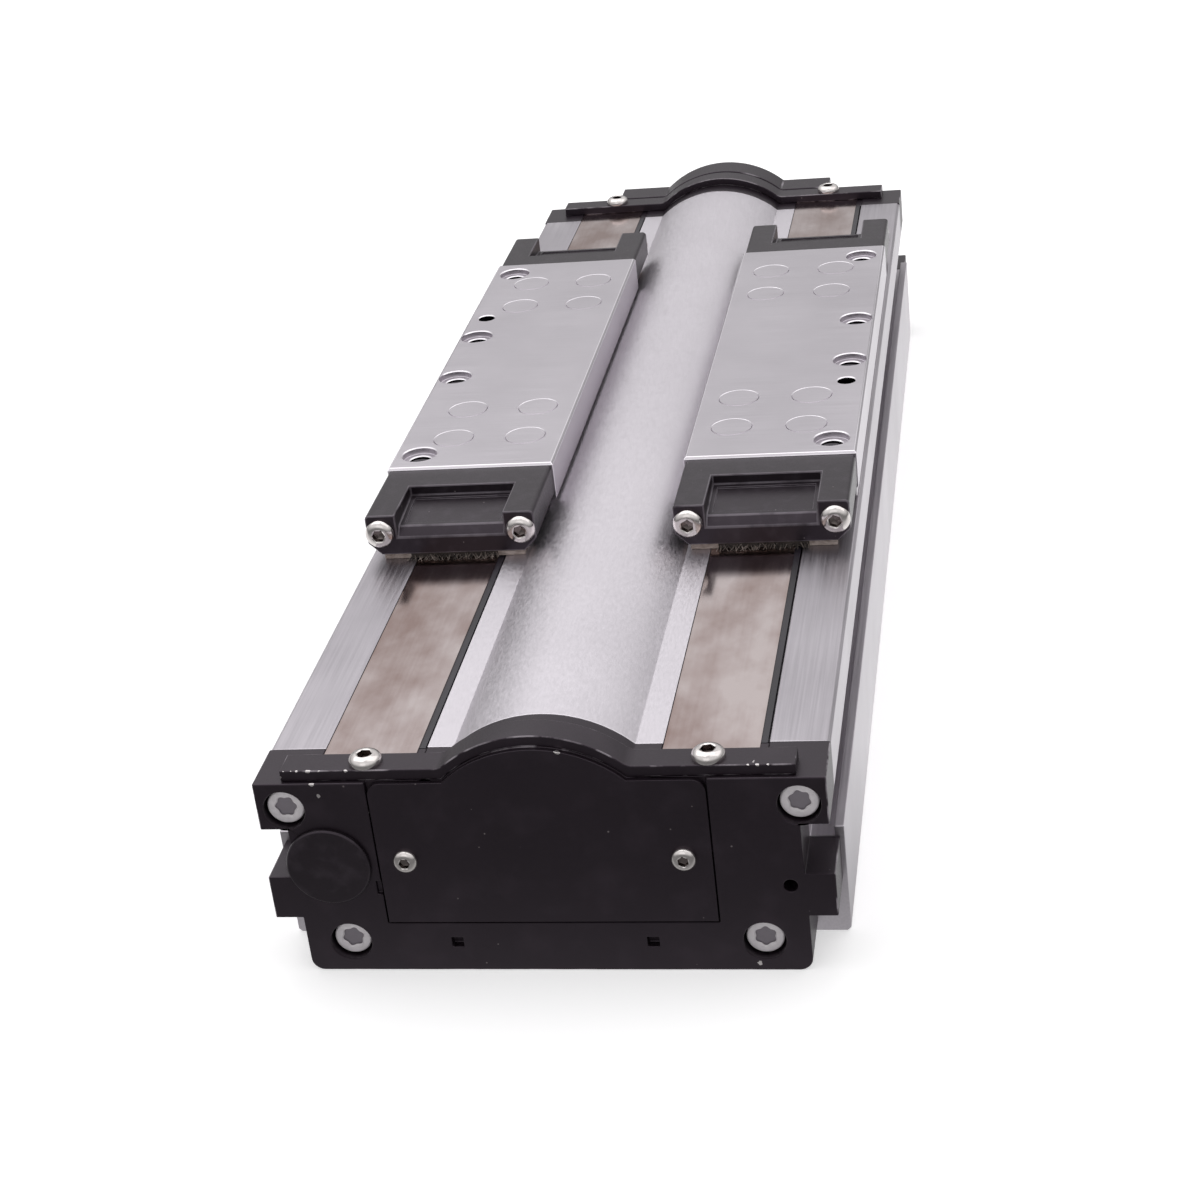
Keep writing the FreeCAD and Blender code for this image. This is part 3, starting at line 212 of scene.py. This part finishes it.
# Real grain and tool marks are a tenth of a millimetre or less, too fine to show in the render, so
# they are drawn as coarse as they need to show
materials = {
    # Drawn and clear anodised: straight hair lines along the length in a soft grey sheen
    "profile_aluminium": surface("drawnAnodisedAluminium", "#aba6ac", "#bfbac0", 0.36, (0.5, 40, 0.5),
                                 0.003),
    # Etched before it was anodised: the lightest metal here, even and silky, with no lines
    "cover_aluminium": surface("etchedAnodisedAluminium", "#d2cdd3", "#d9d4da", 0.42, (0.5, 2.0, 0.5),
                               0.002),
    # Milled across the travel and anodised: faint fine lines over a calm light grey, edges cut
    # bright afterwards, painted shade on the walls deep in the holes
    "plate_aluminium": surface("milledAnodisedAluminium", "#bdb8be", "#ccc7cd", 0.36, (22, 0.35, 0.35),
                               0.003, recess="#2b282c", edge=("#f4f0f5", 0.05, 0.20)),
    # Milled and left bare: coarser lines and a slightly darker grey
    "saddle_aluminium": surface("milledAluminium", "#b4b0b4", "#c4c0c4", 0.38, (9, 0.4, 0.4), 0.004),
    # Anodised black: a dull deep black whose edges and knocks show the bright metal
    "black_anodised": surface("blackAnodisedAluminium", "#100a0f", "#181117", 0.38, (0.3, 0.3, 0.3), 0.004,
                              metallic=0.0, cloud=(22, 22, 22), ior=1.5, tint="#ffedff", dust="#6e6868",
                              smear=("#221b21", (9, 9, 9)), edge=("#9c969c", 0.48, 0.60),
                              chipped=chips),
    # Moulded in black: smoother than the coat, with a painted highlight in patches along its edges
    "black_plastic": surface("blackMouldedAcetal", "#0f0b0e", "#181317", 0.34, (0.4, 0.4, 0.4), 0.006,
                             metallic=0.0, cloud=(12, 12, 12), ior=1.5, tint="#ffedff", dust="#6e6868",
                             smear=("#2b262b", (3.5, 3.5, 3.5)), edge=("#6a656b", 0.25, 0.50)),
    # Sliding plastic: a slightly blue dark grey, waxy
    "shoe_plastic": surface("slidingShoePlastic", "#2a2a2e", "#34343a", 0.40, (0.4, 0.4, 0.4), 0.006,
                            metallic=0.0),
    # Pressed wool: matte brown grey, clearly made of fibres, black where it wipes the band,
    # from oil and from painted shadow under the cap
    "felt": surface("pressedWoolFelt", "#7d6d65", "#c4b7b0", 0.90, (1.6, 0.35, 0.5), 0.4, metallic=0.0,
                    cloud=(3, 3, 3), recess="#0d0a0a"),
    # Cold rolled and bright: a slightly wavy mirror with a warm tarnish in clouds along its length
    "band_steel": surface("coldRolledStainlessStrip", "#97817c", "#c6bab9", 0.13, (1.1, 60, 1.1), 0.0004,
                          cloud=(14, 24, 14), grainShare=0.1, wave=((16, 26, 16), 0.07)),
    # Magnet in rubber: flat dark grey
    "magnet_strip": surface("magneticRubberStrip", "#19151b", "#332e37", 0.40, (0.4, 2.5, 0.4), 0.01,
                            metallic=0.0),
    # Rubber: nearly black, with no shine
    "bumper_rubber": surface("bumperRubber", "#141316", "#1c1b1e", 0.65, (0.4, 0.4, 0.4), 0.01,
                             metallic=0.0),
    # Zinc plated: a light grey bloom, with painted shade in the socket
    "zinc_steel": surface("zincPlatedSteel", "#ded9dc", "#ece7ea", 0.50, (0.9, 0.9, 0.9), 0.006,
                          metallic=0.25, cloud=(3, 3, 3), recess="#857f86"),
    # Stainless: bright, small sharp highlights, with painted shade in the socket
    "bright_steel": surface("stainlessSteel", "#c9c3c2", "#d8d3d1", 0.18, (0.8, 0.8, 0.8), 0.001,
                            cloud=(3, 3, 3), recess="#7a716f"),
    # Oxidised black: dark with a metallic glint
    "black_steel": surface("blackOxideSteel", "#2a282a", "#3a383a", 0.38, (0.5, 0.5, 0.5), 0.003,
                           cloud=(3, 3, 3)),
    # Ground: almost a mirror, with fine lines along the rail
    "ground_steel": surface("groundBearingSteel", "#b6b3b3", "#c8c5c5", 0.16, (0.4, 10, 0.4), 0.001),
}
slotOf = {}
for name, node in frame["nodes"].items():
    for slot in node.material_slots:
        slotOf[name] = slot.material.name.split(".")[0]
        slot.material = materials[slotOf[name]]
print("materials on the frame")

carriageLow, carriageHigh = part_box("carriage_saddle")
carriageCentre = (carriageLow[1] + carriageHigh[1]) / 2
bodyOf = {node: body for body, nodes in frame["record"]["behaviour"]["bodies"].items() for node in nodes}

# Limits for every mesh: angles in degrees, distances in millimetres
meshLimit = {
    "smoothBelow": 25.0,
    "mergeWithin": 0.002,
    "flatWithin": 0.5,
    "sharpAbove": 30.0,
}


def finishPiece(name, piece, slot, body):
    mesh = bpy.data.meshes.new(name)
    piece.to_mesh(mesh)
    piece.free()
    mesh.shade_smooth()
    mesh.set_sharp_from_angle(angle=math.radians(meshLimit["smoothBelow"]))
    mesh.materials.append(materials[slot])
    obj = bpy.data.objects.new(name, mesh)
    bpy.context.scene.collection.objects.link(obj)
    weighted = obj.modifiers.new("faceNormals", "WEIGHTED_NORMAL")
    weighted.keep_sharp = True
    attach(obj, body)
    return obj


def replaceNode(nodeName, ending, piece):
    obj = finishPiece(nodeName + ending, piece, slotOf[nodeName], bodyOf[nodeName])
    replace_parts(obj, nodeName)


def nodeMesh(nodeName):  # a merged copy of a node, with its flat faces whole again
    piece = bmesh.new()
    piece.from_mesh(frame["nodes"][nodeName].data)
    bmesh.ops.remove_doubles(piece, verts=piece.verts, dist=meshLimit["mergeWithin"] * mm)
    bmesh.ops.dissolve_limit(piece, angle_limit=math.radians(meshLimit["flatWithin"]), verts=piece.verts,
                             edges=piece.edges)
    piece.faces.layers.float.new("edgeWear")
    piece.faces.layers.float.new("recess")
    return piece


def sharpEdges(piece):
    smallest = math.radians(meshLimit["sharpAbove"])
    return [edge for edge in piece.edges
            if len(edge.link_faces) == 2 and edge.calc_face_angle(0.0) > smallest]


def roundEdges(piece, edges, width, steps=2):
    edgeLayer = piece.faces.layers.float.get("edgeWear")
    made = bmesh.ops.bevel(piece, geom=edges, offset=width * mm, offset_type="OFFSET", affect="EDGES",
                           segments=steps, profile=0.5, material=-1, clamp_overlap=False)
    # bevel faces take the edge colour: bare metal, or on the black plastic a painted highlight
    for face in made["faces"]:
        face[edgeLayer] = 1.0


def untouchedEdges(piece):
    edgeLayer = piece.faces.layers.float.get("edgeWear")
    return [edge for edge in sharpEdges(piece) if not any(face[edgeLayer] for face in edge.link_faces)]


def looseParts(nodeName):  # low and high corner of each separate solid in a node
    piece = nodeMesh(nodeName)
    waiting = set(piece.verts)
    boxes = []
    while waiting:
        ahead = [waiting.pop()]
        found = []
        while ahead:
            vertex = ahead.pop()
            found.append(vertex.co.copy())
            for edge in vertex.link_edges:
                other = edge.other_vert(vertex)
                if other in waiting:
                    waiting.remove(other)
                    ahead.append(other)
        low = Vector([min(point[axis] for point in found) for axis in range(3)])
        high = Vector([max(point[axis] for point in found) for axis in range(3)])
        boxes.append((low, high))
    piece.free()
    return sorted(boxes, key=lambda box: tuple(round(value, 5) for value in box[0]))


# Machined and moulded pieces: the frame's shapes with their edges broken, in millimetres
edgeWidth = {
    "base_profile": 0.2,
    "centre_cover": 0.15,
    "front_end_block": 0.3,
    "rear_end_block": 0.3,
    "front_cover_plate": 0.1,
    "drive_flange": 0.35,
    "access_plug": 0.15,
    "front_band_clamp": 0.25,
    "rear_band_clamp": 0.25,
    "carriage_saddle": 0.3,
}
# The edges of these are rubbed only this near to the outline, in millimetres
rubbedWithin = {
    "front_end_block": 1.2,
    "rear_end_block": 1.2,
    "front_cover_plate": 0.0,
    "access_plug": 0.0,
}


def brokenEdges(nodeName, width):
    piece = nodeMesh(nodeName)
    roundEdges(piece, sharpEdges(piece), width)
    if nodeName in rubbedWithin:
        edgeLayer = piece.faces.layers.float.get("edgeWear")
        low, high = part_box(nodeName)
        for face in piece.faces:
            at = face.calc_center_median()
            inset = min(min(at[axis] - low[axis], high[axis] - at[axis]) for axis in (0, 2))
            if inset > rubbedWithin[nodeName] * mm:
                face[edgeLayer] = 0.0
    replaceNode(nodeName, "_finished", piece)


for nodeName, width in edgeWidth.items():
    brokenEdges(nodeName, width)
print("machined pieces")

# Carriage plates: the rims of the holes in the top have a wider chamfer than the outer edges
plate = {
    "edge": 0.14,
    "rim": 0.28,
    "border": 1.0,
    "dimBelow": 1.9,
    "wallSlope": 0.3,
}


def carriagePlate(nodeName):
    piece = nodeMesh(nodeName)
    recess = piece.faces.layers.float.get("recess")
    low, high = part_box(nodeName)
    border = plate["border"] * mm
    lowest = high[2] - plate["dimBelow"] * mm

    def isInside(point):
        return all(low[axis] + border < point[axis] < high[axis] - border for axis in (0, 1))

    # Painted shade on the steep walls inside the plate, deeper than dimBelow under the top
    for face in piece.faces:
        middle = face.calc_center_median()
        if abs(face.normal.z) < plate["wallSlope"] and isInside(middle) and middle.z < lowest:
            face[recess] = 1.0
    rims = [edge for edge in sharpEdges(piece) if edge.is_convex
            and all(isInside(vertex.co) and vertex.co.z > lowest for vertex in edge.verts)]
    roundEdges(piece, rims, plate["rim"], steps=1)
    roundEdges(piece, untouchedEdges(piece), plate["edge"])
    replaceNode(nodeName, "_finished", piece)


carriagePlate("carriage_plate_left")
carriagePlate("carriage_plate_right")
print("carriage plates")

# Band caps: moulded, with soft edges and a crisper step round the sunk panel
cap = {
    "edge": 0.4,
    "step": 0.12,
    "panelBelow": 2.0,
    "panelFacing": 0.9,
}


def bandCap(nodeName):
    piece = nodeMesh(nodeName)
    low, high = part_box(nodeName)
    below = high[2] - cap["panelBelow"] * mm
    panel = max((face for face in piece.faces
                 if face.normal.z > cap["panelFacing"] and face.calc_center_median().z < below),
                key=lambda face: face.calc_area())
    step = {face for edge in panel.edges for face in edge.link_faces}
    edges = {edge for face in step for edge in face.edges}
    # The rounded edges carry the black plastic's painted highlight
    roundEdges(piece, [edge for edge in sharpEdges(piece) if edge in edges], cap["step"])
    roundEdges(piece, untouchedEdges(piece), cap["edge"])
    replaceNode(nodeName, "_moulded", piece)


for nodeName in [name for name in bodyOf if name.startswith("band_cap_") and name != "band_cap_screws"]:
    bandCap(nodeName)
print("band caps")

# Felt wipers: a pressed strip whose lower front edge has frayed over the band, in millimetres.
# The fibres are a few times thicker than real ones, so that they show
fringe = {
    "fibres": 90,
    "seed": 11,
    "halfWidth": 11.5,
    "heights": (0.3, 1.2),
    "rooted": 0.3,
    "thick": 0.09,
    "long": (0.8, 2.6),
    "lean": 0.9,
    "droop": (0.2, 0.4, 0.3),
    "overBand": 0.05,
    "oily": 0.85,
}


# Oil and painted shadow from the cap above darken the felt in the middle
def oiledAndShadedFelt(nodeName):  # dark in the middle, where it wipes the band
    piece = nodeMesh(nodeName)
    recess = piece.faces.layers.float.get("recess")
    low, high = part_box(nodeName)
    middle = (low[0] + high[0]) / 2
    reach = fringe["halfWidth"] * mm
    for x in (middle - reach, middle + reach):
        bmesh.ops.bisect_plane(piece, geom=piece.verts[:] + piece.edges[:] + piece.faces[:],
                               plane_co=(x, 0, 0), plane_no=(1, 0, 0))
    for face in piece.faces:
        if abs(face.calc_center_median().x - middle) < reach:
            face[recess] = fringe["oily"]
    replaceNode(nodeName, "_oiled", piece)


def frayedEdge(nodeName, seed):
    chance = random.Random(seed)
    low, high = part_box(nodeName)
    outward = math.copysign(1, (low[1] + high[1]) / 2 - carriageCentre)
    frontY = high[1] if outward > 0 else low[1]
    middle = (low[0] + high[0]) / 2
    steps = len(fringe["droop"])
    piece = bmesh.new()
    recess = piece.faces.layers.float.new("recess")
    for fibre in range(fringe["fibres"]):
        known = len(piece.faces)
        x = middle + chance.uniform(-1, 1) * fringe["halfWidth"] * mm
        z = low[2] + chance.uniform(*fringe["heights"]) * mm
        length = chance.uniform(*fringe["long"]) * mm
        lean = chance.uniform(-fringe["lean"], fringe["lean"])
        ring = bmesh.ops.create_circle(piece, segments=4, radius=fringe["thick"] * mm)["verts"]
        bmesh.ops.rotate(piece, verts=ring, cent=(0, 0, 0), matrix=Matrix.Rotation(math.pi / 2, 3, "X"))
        bmesh.ops.translate(piece, verts=ring, vec=(x, frontY - outward * fringe["rooted"] * mm, z))
        edges = list({edge for vertex in ring for edge in vertex.link_edges})
        bmesh.ops.edgeloop_fill(piece, edges=edges)
        for share in fringe["droop"]:
            made = bmesh.ops.extrude_edge_only(piece, edges=edges)["geom"]
            ring = [item for item in made if isinstance(item, bmesh.types.BMVert)]
            edges = [item for item in made if isinstance(item, bmesh.types.BMEdge)
                     and all(vertex in ring for vertex in item.verts)]
            drop = (z - low[2] - fringe["overBand"] * mm) * share
            onward = (lean * length / steps, outward * length / steps, -drop)
            bmesh.ops.translate(piece, verts=ring, vec=onward)
        bmesh.ops.edgeloop_fill(piece, edges=edges)
        # each fibre gets a random share of the oil and the painted shadow
        oily = chance.random()
        for face in piece.faces[known:]:
            face[recess] = oily
    bmesh.ops.recalc_face_normals(piece, faces=piece.faces)
    finishPiece(nodeName + "_fibres", piece, "felt", bodyOf[nodeName])


for index, nodeName in enumerate(sorted(name for name in bodyOf if name.startswith("band_wiper"))):
    oiledAndShadedFelt(nodeName)
    frayedEdge(nodeName, fringe["seed"] + index)
print("felt wipers")

# Screws: each head is a stack of rings, round or in the shape of its socket. The socket head is
# in millimetres, with shares of its rounded edge and of its socket
socketHead = {
    "edge": 0.35,
    "edgeInShare": 0.4,
    "edgeDownShare": 0.3,
    "socket": 2.3,
    "lobe": 0.2,
    "lead": 0.3,
    "depth": 0.6,
    "floorShare": 0.5,
    "floorDepthShare": 1.1,
}
# The button head is in shares of its radius, or of its height
buttonHead = {
    "seat": 0.97,
    "rim": 0.16,
    "top": 0.5,
    "domeSteps": 7,
    "socket": 0.4,
    "mouth": 0.04,
    "taper": 0.97,
    "depth": 0.75,
    "floor": 0.12,
    "floorDepth": 1.25,
}
ringSegments = 48
socketRings = 3  # the last rings of a head, which shape its socket
turnBetween = 37  # degrees from each head to the next


def roundRing(radius):
    return lambda angle: radius


def sixLobes(radius, lobe):
    return lambda angle: radius + lobe * math.cos(6 * angle)


def hexagon(apothem):
    sixth = math.pi / 3
    return lambda angle: apothem / math.cos((angle % sixth) - sixth / 2)


def stackRings(rings):
    piece = bmesh.new()
    recess = piece.faces.layers.float.new("recess")
    verts = set(bmesh.ops.create_circle(piece, segments=ringSegments, radius=mm)["verts"])
    edges = piece.edges[:]
    bmesh.ops.edgeloop_fill(piece, edges=edges)
    for index, (radiusAt, height) in enumerate(rings):
        if index > 0:
            made = bmesh.ops.extrude_edge_only(piece, edges=edges)["geom"]
            verts = {item for item in made if isinstance(item, bmesh.types.BMVert)}
            edges = [item for item in made if isinstance(item, bmesh.types.BMEdge)
                     and verts.issuperset(item.verts)]
            # The socket's walls get painted shade
            for face in (item for item in made if isinstance(item, bmesh.types.BMFace)):
                face[recess] = float(index > len(rings) - socketRings)
        for vertex in verts:
            angle = math.atan2(vertex.co.y, vertex.co.x)
            reach = radiusAt(angle) * mm
            vertex.co = Vector((reach * math.cos(angle), reach * math.sin(angle), height * mm))
    # and the socket floor gets the full painted shade
    for face in bmesh.ops.edgeloop_fill(piece, edges=edges)["faces"]:
        face[recess] = 1.0
    bmesh.ops.recalc_face_normals(piece, faces=piece.faces)
    return piece


def socketScrew(radius, height, shank, reach):
    head = socketHead
    edge, depth, lobe = head["edge"], head["depth"], head["lobe"]
    socket, wide = sixLobes(head["socket"], lobe), sixLobes(head["socket"] + head["lead"], lobe)
    shoulder = roundRing(radius - head["edgeInShare"] * edge)
    floor = roundRing(head["floorShare"] * head["socket"])
    return stackRings([
        (roundRing(shank), -reach), (roundRing(shank), 0),
        (roundRing(radius), 0), (roundRing(radius), height - edge),
        (shoulder, height - head["edgeDownShare"] * edge), (roundRing(radius - edge), height),
        (wide, height), (socket, height - head["lead"]),
        (socket, height - depth), (floor, height - head["floorDepthShare"] * depth),
    ])


def buttonScrew(radius, height, shank, reach):
    head = buttonHead
    rim, top = head["rim"] * height, head["top"] * radius
    rings = [(roundRing(shank), -reach), (roundRing(shank), 0), (roundRing(radius * head["seat"]), 0)]
    for step in range(head["domeSteps"] + 1):
        angle = math.pi / 2 * step / head["domeSteps"]
        across = roundRing(top + (radius - top) * math.cos(angle))
        rings.append((across, rim + (height - rim) * math.sin(angle)))
    rings += [(hexagon(head["socket"] * radius), height - head["mouth"] * radius),
              (hexagon(head["socket"] * radius * head["taper"]), height * (1 - head["depth"])),
              (roundRing(head["floor"] * radius), height * (1 - head["floorDepth"] * head["depth"]))]
    return stackRings(rings)


def screwGroup(nodeName, build, headHeight, shank, outward):
    # one screw in each place of the node, its head on the side that outward(centre) names
    whole = bmesh.new()
    for index, (low, high) in enumerate(looseParts(nodeName)):
        centre = (low + high) / 2
        axis = outward(centre)
        size = high - low
        radius = min(size) / 2 / mm
        length = abs(size.dot(axis)) / mm
        screw = build(radius, headHeight, shank, length - headHeight)
        top = centre + axis * (length / 2 - headHeight) * mm
        turn = Vector((0, 0, 1)).rotation_difference(axis).to_matrix().to_4x4()
        spinTurn = Matrix.Rotation(math.radians(turnBetween * index), 4, "Z")
        bmesh.ops.transform(screw, matrix=Matrix.Translation(top) @ turn @ spinTurn, verts=screw.verts)
        mesh = bpy.data.meshes.new("screw")
        screw.to_mesh(mesh)
        screw.free()
        whole.from_mesh(mesh)
        bpy.data.meshes.remove(mesh)
    replaceNode(nodeName, "_detailed", whole)


def fromMiddle(centre):
    return Vector((0, math.copysign(1, centre.y), 0))


def fromCarriage(centre):
    return Vector((0, math.copysign(1, centre.y - carriageCentre), 0))


def upwards(centre):
    return Vector((0, 0, 1))


def forwards(centre):
    return Vector((0, -1, 0))


# Kind of screw, height of the head and radius of the shank in millimetres, where the head faces
screwGroups = {
    "end_block_screws": (socketScrew, 5.0, 2.5, fromMiddle),
    "band_cap_screws": (buttonScrew, 2.2, 2.0, fromCarriage),
    "band_clamp_screws": (buttonScrew, 2.2, 2.0, upwards),
    "cover_plate_screws": (buttonScrew, 1.65, 1.5, forwards),
}
for nodeName, sizes in screwGroups.items():
    screwGroup(nodeName, *sizes)
print("screws")

# Threads of the mounting holes, M6 with a pitch of 1 mm
thread = {
    "radius": 3.02,
    "ridge": 0.5,
    "ridgeMiddle": 0.45,
    "ridgeWidth": 0.9,
    "pitch": 1.0,
    "steps": 24,
    "top": 1.9,
    "outerHole": 7.0,
    "outerPitch": 142.0,
    "innerHole": 5.5,
    "innerPitch": 32.0,
    "dim": 0.9,
}


def threadedHoles(sideName, side):
    nodeName = "carriage_plate_" + sideName
    low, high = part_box(nodeName)
    edgeX = high[0] if side > 0 else low[0]
    turns = int((high[2] - low[2]) / mm - thread["top"]) - 1
    start = high[2] - (thread["top"] + (turns + 1) * thread["pitch"]) * mm
    outer, inner = thread["radius"], thread["radius"] - thread["ridge"]
    ridge = (outer, 0.0), (inner, thread["ridgeMiddle"]), (outer, thread["ridgeWidth"])
    whole = bmesh.new()
    recess = whole.faces.layers.float.new("recess")
    rows = (thread["outerHole"], thread["outerPitch"]), (thread["innerHole"], thread["innerPitch"])
    for inset, pitch in rows:
        for end in (-1, 1):
            centre = Vector((edgeX - side * inset * mm, carriageCentre + end * pitch / 2 * mm, 0))
            verts = [whole.verts.new(centre + Vector((r * mm, 0, start + z * mm))) for r, z in ridge]
            face = whole.faces.new(verts)
            bmesh.ops.spin(whole, geom=[face] + face.edges[:] + verts, cent=centre, axis=(0, 0, 1),
                           dvec=(0, 0, thread["pitch"] * mm / thread["steps"]), angle=2 * math.pi * turns,
                           steps=thread["steps"] * turns, use_merge=False, use_duplicate=False)
    # Painted shade over the whole thread, a little lighter than down the plate's holes
    for face in whole.faces:
        face[recess] = thread["dim"]
    bmesh.ops.recalc_face_normals(whole, faces=whole.faces)
    finishPiece("hole_threads_" + sideName, whole, "plate_aluminium", "carriage")


threadedHoles("left", -1)
threadedHoles("right", 1)
print("threads")

# Cover bands: flat in their channels, over the carriage in a hump, built where the carriage
# stands. The ramp of the hump is given from the middle of the carriage
band = {
    "thickness": 0.3,
    "clamped": 5.4,
    "rampStart": 100.0,
    "rampEnd": 83.0,
    "crossSteps": 6,
    "lengthSteps": 240,
}


def smooth(t):
    t = min(max(t, 0.0), 1.0)
    return t * t * (3 - 2 * t)


def coverBand(sideName, end):
    low, high = (Vector(corner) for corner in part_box("cover_band_" + sideName))
    outer = low.y if end < 0 else high.y
    thickness = band["thickness"] * mm
    rise = high.z - thickness - low.z
    rampStart = band["rampStart"] * mm
    rampEnd = band["rampEnd"] * mm
    piece = bmesh.new()
    bmesh.ops.create_grid(piece, x_segments=band["crossSteps"], y_segments=band["lengthSteps"], size=0.5)
    for vertex in piece.verts:
        x = low.x + (vertex.co.x + 0.5) * (high.x - low.x)
        y = min(carriageCentre, outer) + (vertex.co.y + 0.5) * abs(outer - carriageCentre)
        distance = abs(y - carriageCentre)
        lift = smooth((rampStart - distance) / (rampStart - rampEnd))
        vertex.co = Vector((x, y, low.z + rise * lift))
    bmesh.ops.recalc_face_normals(piece, faces=piece.faces)
    bmesh.ops.solidify(piece, geom=piece.faces[:], thickness=-thickness)
    bmesh.ops.recalc_face_normals(piece, faces=piece.faces)
    mesh = bpy.data.meshes.new("band")
    piece.to_mesh(mesh)
    piece.free()
    endName = "front" if end < 0 else "rear"
    obj = bpy.data.objects.new("steel_band_" + endName + "_" + sideName, mesh)
    bpy.context.scene.collection.objects.link(obj)
    mesh.materials.append(materials["band_steel"])
    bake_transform(obj)
    return obj


for sideName in ("left", "right"):
    for end in (-1, 1):
        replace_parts(coverBand(sideName, end), "cover_band_" + sideName)
print("cover bands")

# Studio: white surroundings whose mirrored image is darker low down and in front, soft lamps above.
# Each lamp is a place, a size and a power
studio = {
    "floorSize": 4.0,
    "floorColour": "#f4f3f4",
    "floorRoughness": 0.9,
    "floorGlow": 0.45,
    "mirroredFloor": (0.25, 1.2),
    "mirroredFloorPlace": (-0.24, -0.10),
    "skyColour": "#ffffff",
    "skySeen": 1.0,
    "worldStrength": 0.5,
    "mirroredSky": (0.2, 0.97),
    "mirroredSkyHeight": (0.0, 0.5),
    "lamps": [
        ((-0.5, 0.3, 1.45), 1.6, 8),
        ((0.7, 0.2, 1.3), 1.4, 4),
        ((-0.2, -1.5, 0.9), 1.0, 1.0),
    ],
    "aim": (0.0, 0.0, 0.03),
    "cameraPlace": (0.10907, -0.62696, 0.31347),
    "cameraForward": (-0.18233, 0.87445, -0.44956),
    "cameraUp": (0.02714, 0.46153, 0.88671),
    "lens": 71.95,
    "sensor": 36.0,
    "nearest": 0.01,
}


def buildFloor():
    bpy.ops.mesh.primitive_plane_add(size=studio["floorSize"])
    floor = bpy.context.object
    floor.name = "floor"
    material = bpy.data.materials.new("paintedBoard")  # matte white that keeps a faint soft shadow
    material.use_nodes = True
    tree = material.node_tree
    shader = tree.nodes["Principled BSDF"]
    shader.inputs["Base Color"].default_value = hexColour(studio["floorColour"])
    shader.inputs["Roughness"].default_value = studio["floorRoughness"]
    ray = addNode(tree, "ShaderNodeLightPath")
    place = addNode(tree, "ShaderNodeTexCoord").outputs["Object"]
    along = addNode(tree, "ShaderNodeSeparateXYZ", {}, {"Vector": place}).outputs["Y"]
    (front, back), (low, high) = studio["mirroredFloorPlace"], studio["mirroredFloor"]
    mirrored = addNode(tree, "ShaderNodeMapRange", {}, {
        "Value": along, "From Min": front, "From Max": back, "To Min": low, "To Max": high})
    # In reflections the floor is a painted glow, dim in front and bright behind
    dim = addNode(tree, "ShaderNodeEmission", {}, {"Strength": mirrored.outputs["Result"]})
    glow = addNode(tree, "ShaderNodeEmission", {}, {"Strength": studio["floorGlow"]})
    lit = addNode(tree, "ShaderNodeAddShader", {}, {0: shader.outputs[0], 1: glow.outputs[0]})
    seen = addNode(tree, "ShaderNodeMixShader", {}, {
        0: ray.outputs["Is Camera Ray"], 1: shader.outputs[0], 2: lit.outputs[0]})
    both = addNode(tree, "ShaderNodeMixShader", {}, {
        0: ray.outputs["Is Glossy Ray"], 1: seen.outputs[0], 2: dim.outputs[0]})
    tree.links.new(both.outputs[0], tree.nodes["Material Output"].inputs["Surface"])
    floor.data.materials.append(material)


def buildStudio():
    scene = bpy.context.scene
    scene.view_settings.view_transform = "Standard"
    world = bpy.data.worlds.new("softWhite")
    scene.world = world
    world.use_nodes = True
    tree = world.node_tree
    tree.nodes.clear()
    ray = addNode(tree, "ShaderNodeLightPath")
    way = addNode(tree, "ShaderNodeTexCoord").outputs["Generated"]
    height = addNode(tree, "ShaderNodeSeparateXYZ", {}, {"Vector": way}).outputs["Z"]
    (low, high), (dim, bright) = studio["mirroredSkyHeight"], studio["mirroredSky"]
    mirrored = addNode(tree, "ShaderNodeMapRange", {}, {
        "Value": height, "From Min": low, "From Max": high, "To Min": dim, "To Max": bright})
    strength = addNode(tree, "ShaderNodeMix", {}, {
        "Factor": ray.outputs["Is Glossy Ray"], "A": studio["worldStrength"],
        "B": mirrored.outputs["Result"]})
    strength = addNode(tree, "ShaderNodeMix", {}, {
        "Factor": ray.outputs["Is Camera Ray"], "A": strength.outputs["Result"], "B": studio["skySeen"]})
    sky = addNode(tree, "ShaderNodeBackground", {}, {
        "Color": hexColour(studio["skyColour"]), "Strength": strength.outputs["Result"]})
    addNode(tree, "ShaderNodeOutputWorld", {}, {"Surface": sky.outputs[0]})
    aim = Vector(studio["aim"])
    for index, (where, size, power) in enumerate(studio["lamps"]):
        lamp = bpy.data.lights.new("softbox" + str(index), "AREA")
        lamp.shape = "SQUARE"
        lamp.size = size
        lamp.energy = power
        obj = bpy.data.objects.new(lamp.name, lamp)
        obj.location = where
        obj.rotation_euler = (aim - Vector(where)).to_track_quat("-Z", "Y").to_euler()
        scene.collection.objects.link(obj)
    camera = bpy.data.cameras.new("camera")
    camera.lens = studio["lens"]
    camera.sensor_width = studio["sensor"]
    camera.clip_start = studio["nearest"]
    obj = bpy.data.objects.new("camera", camera)
    forward = Vector(studio["cameraForward"])
    up = Vector(studio["cameraUp"])
    right = forward.cross(up)
    turn = Matrix((right, up, -forward)).transposed().to_4x4()
    obj.matrix_world = Matrix.Translation(studio["cameraPlace"]) @ turn
    scene.collection.objects.link(obj)
    scene.camera = obj


buildFloor()
buildStudio()
print("studio and camera")
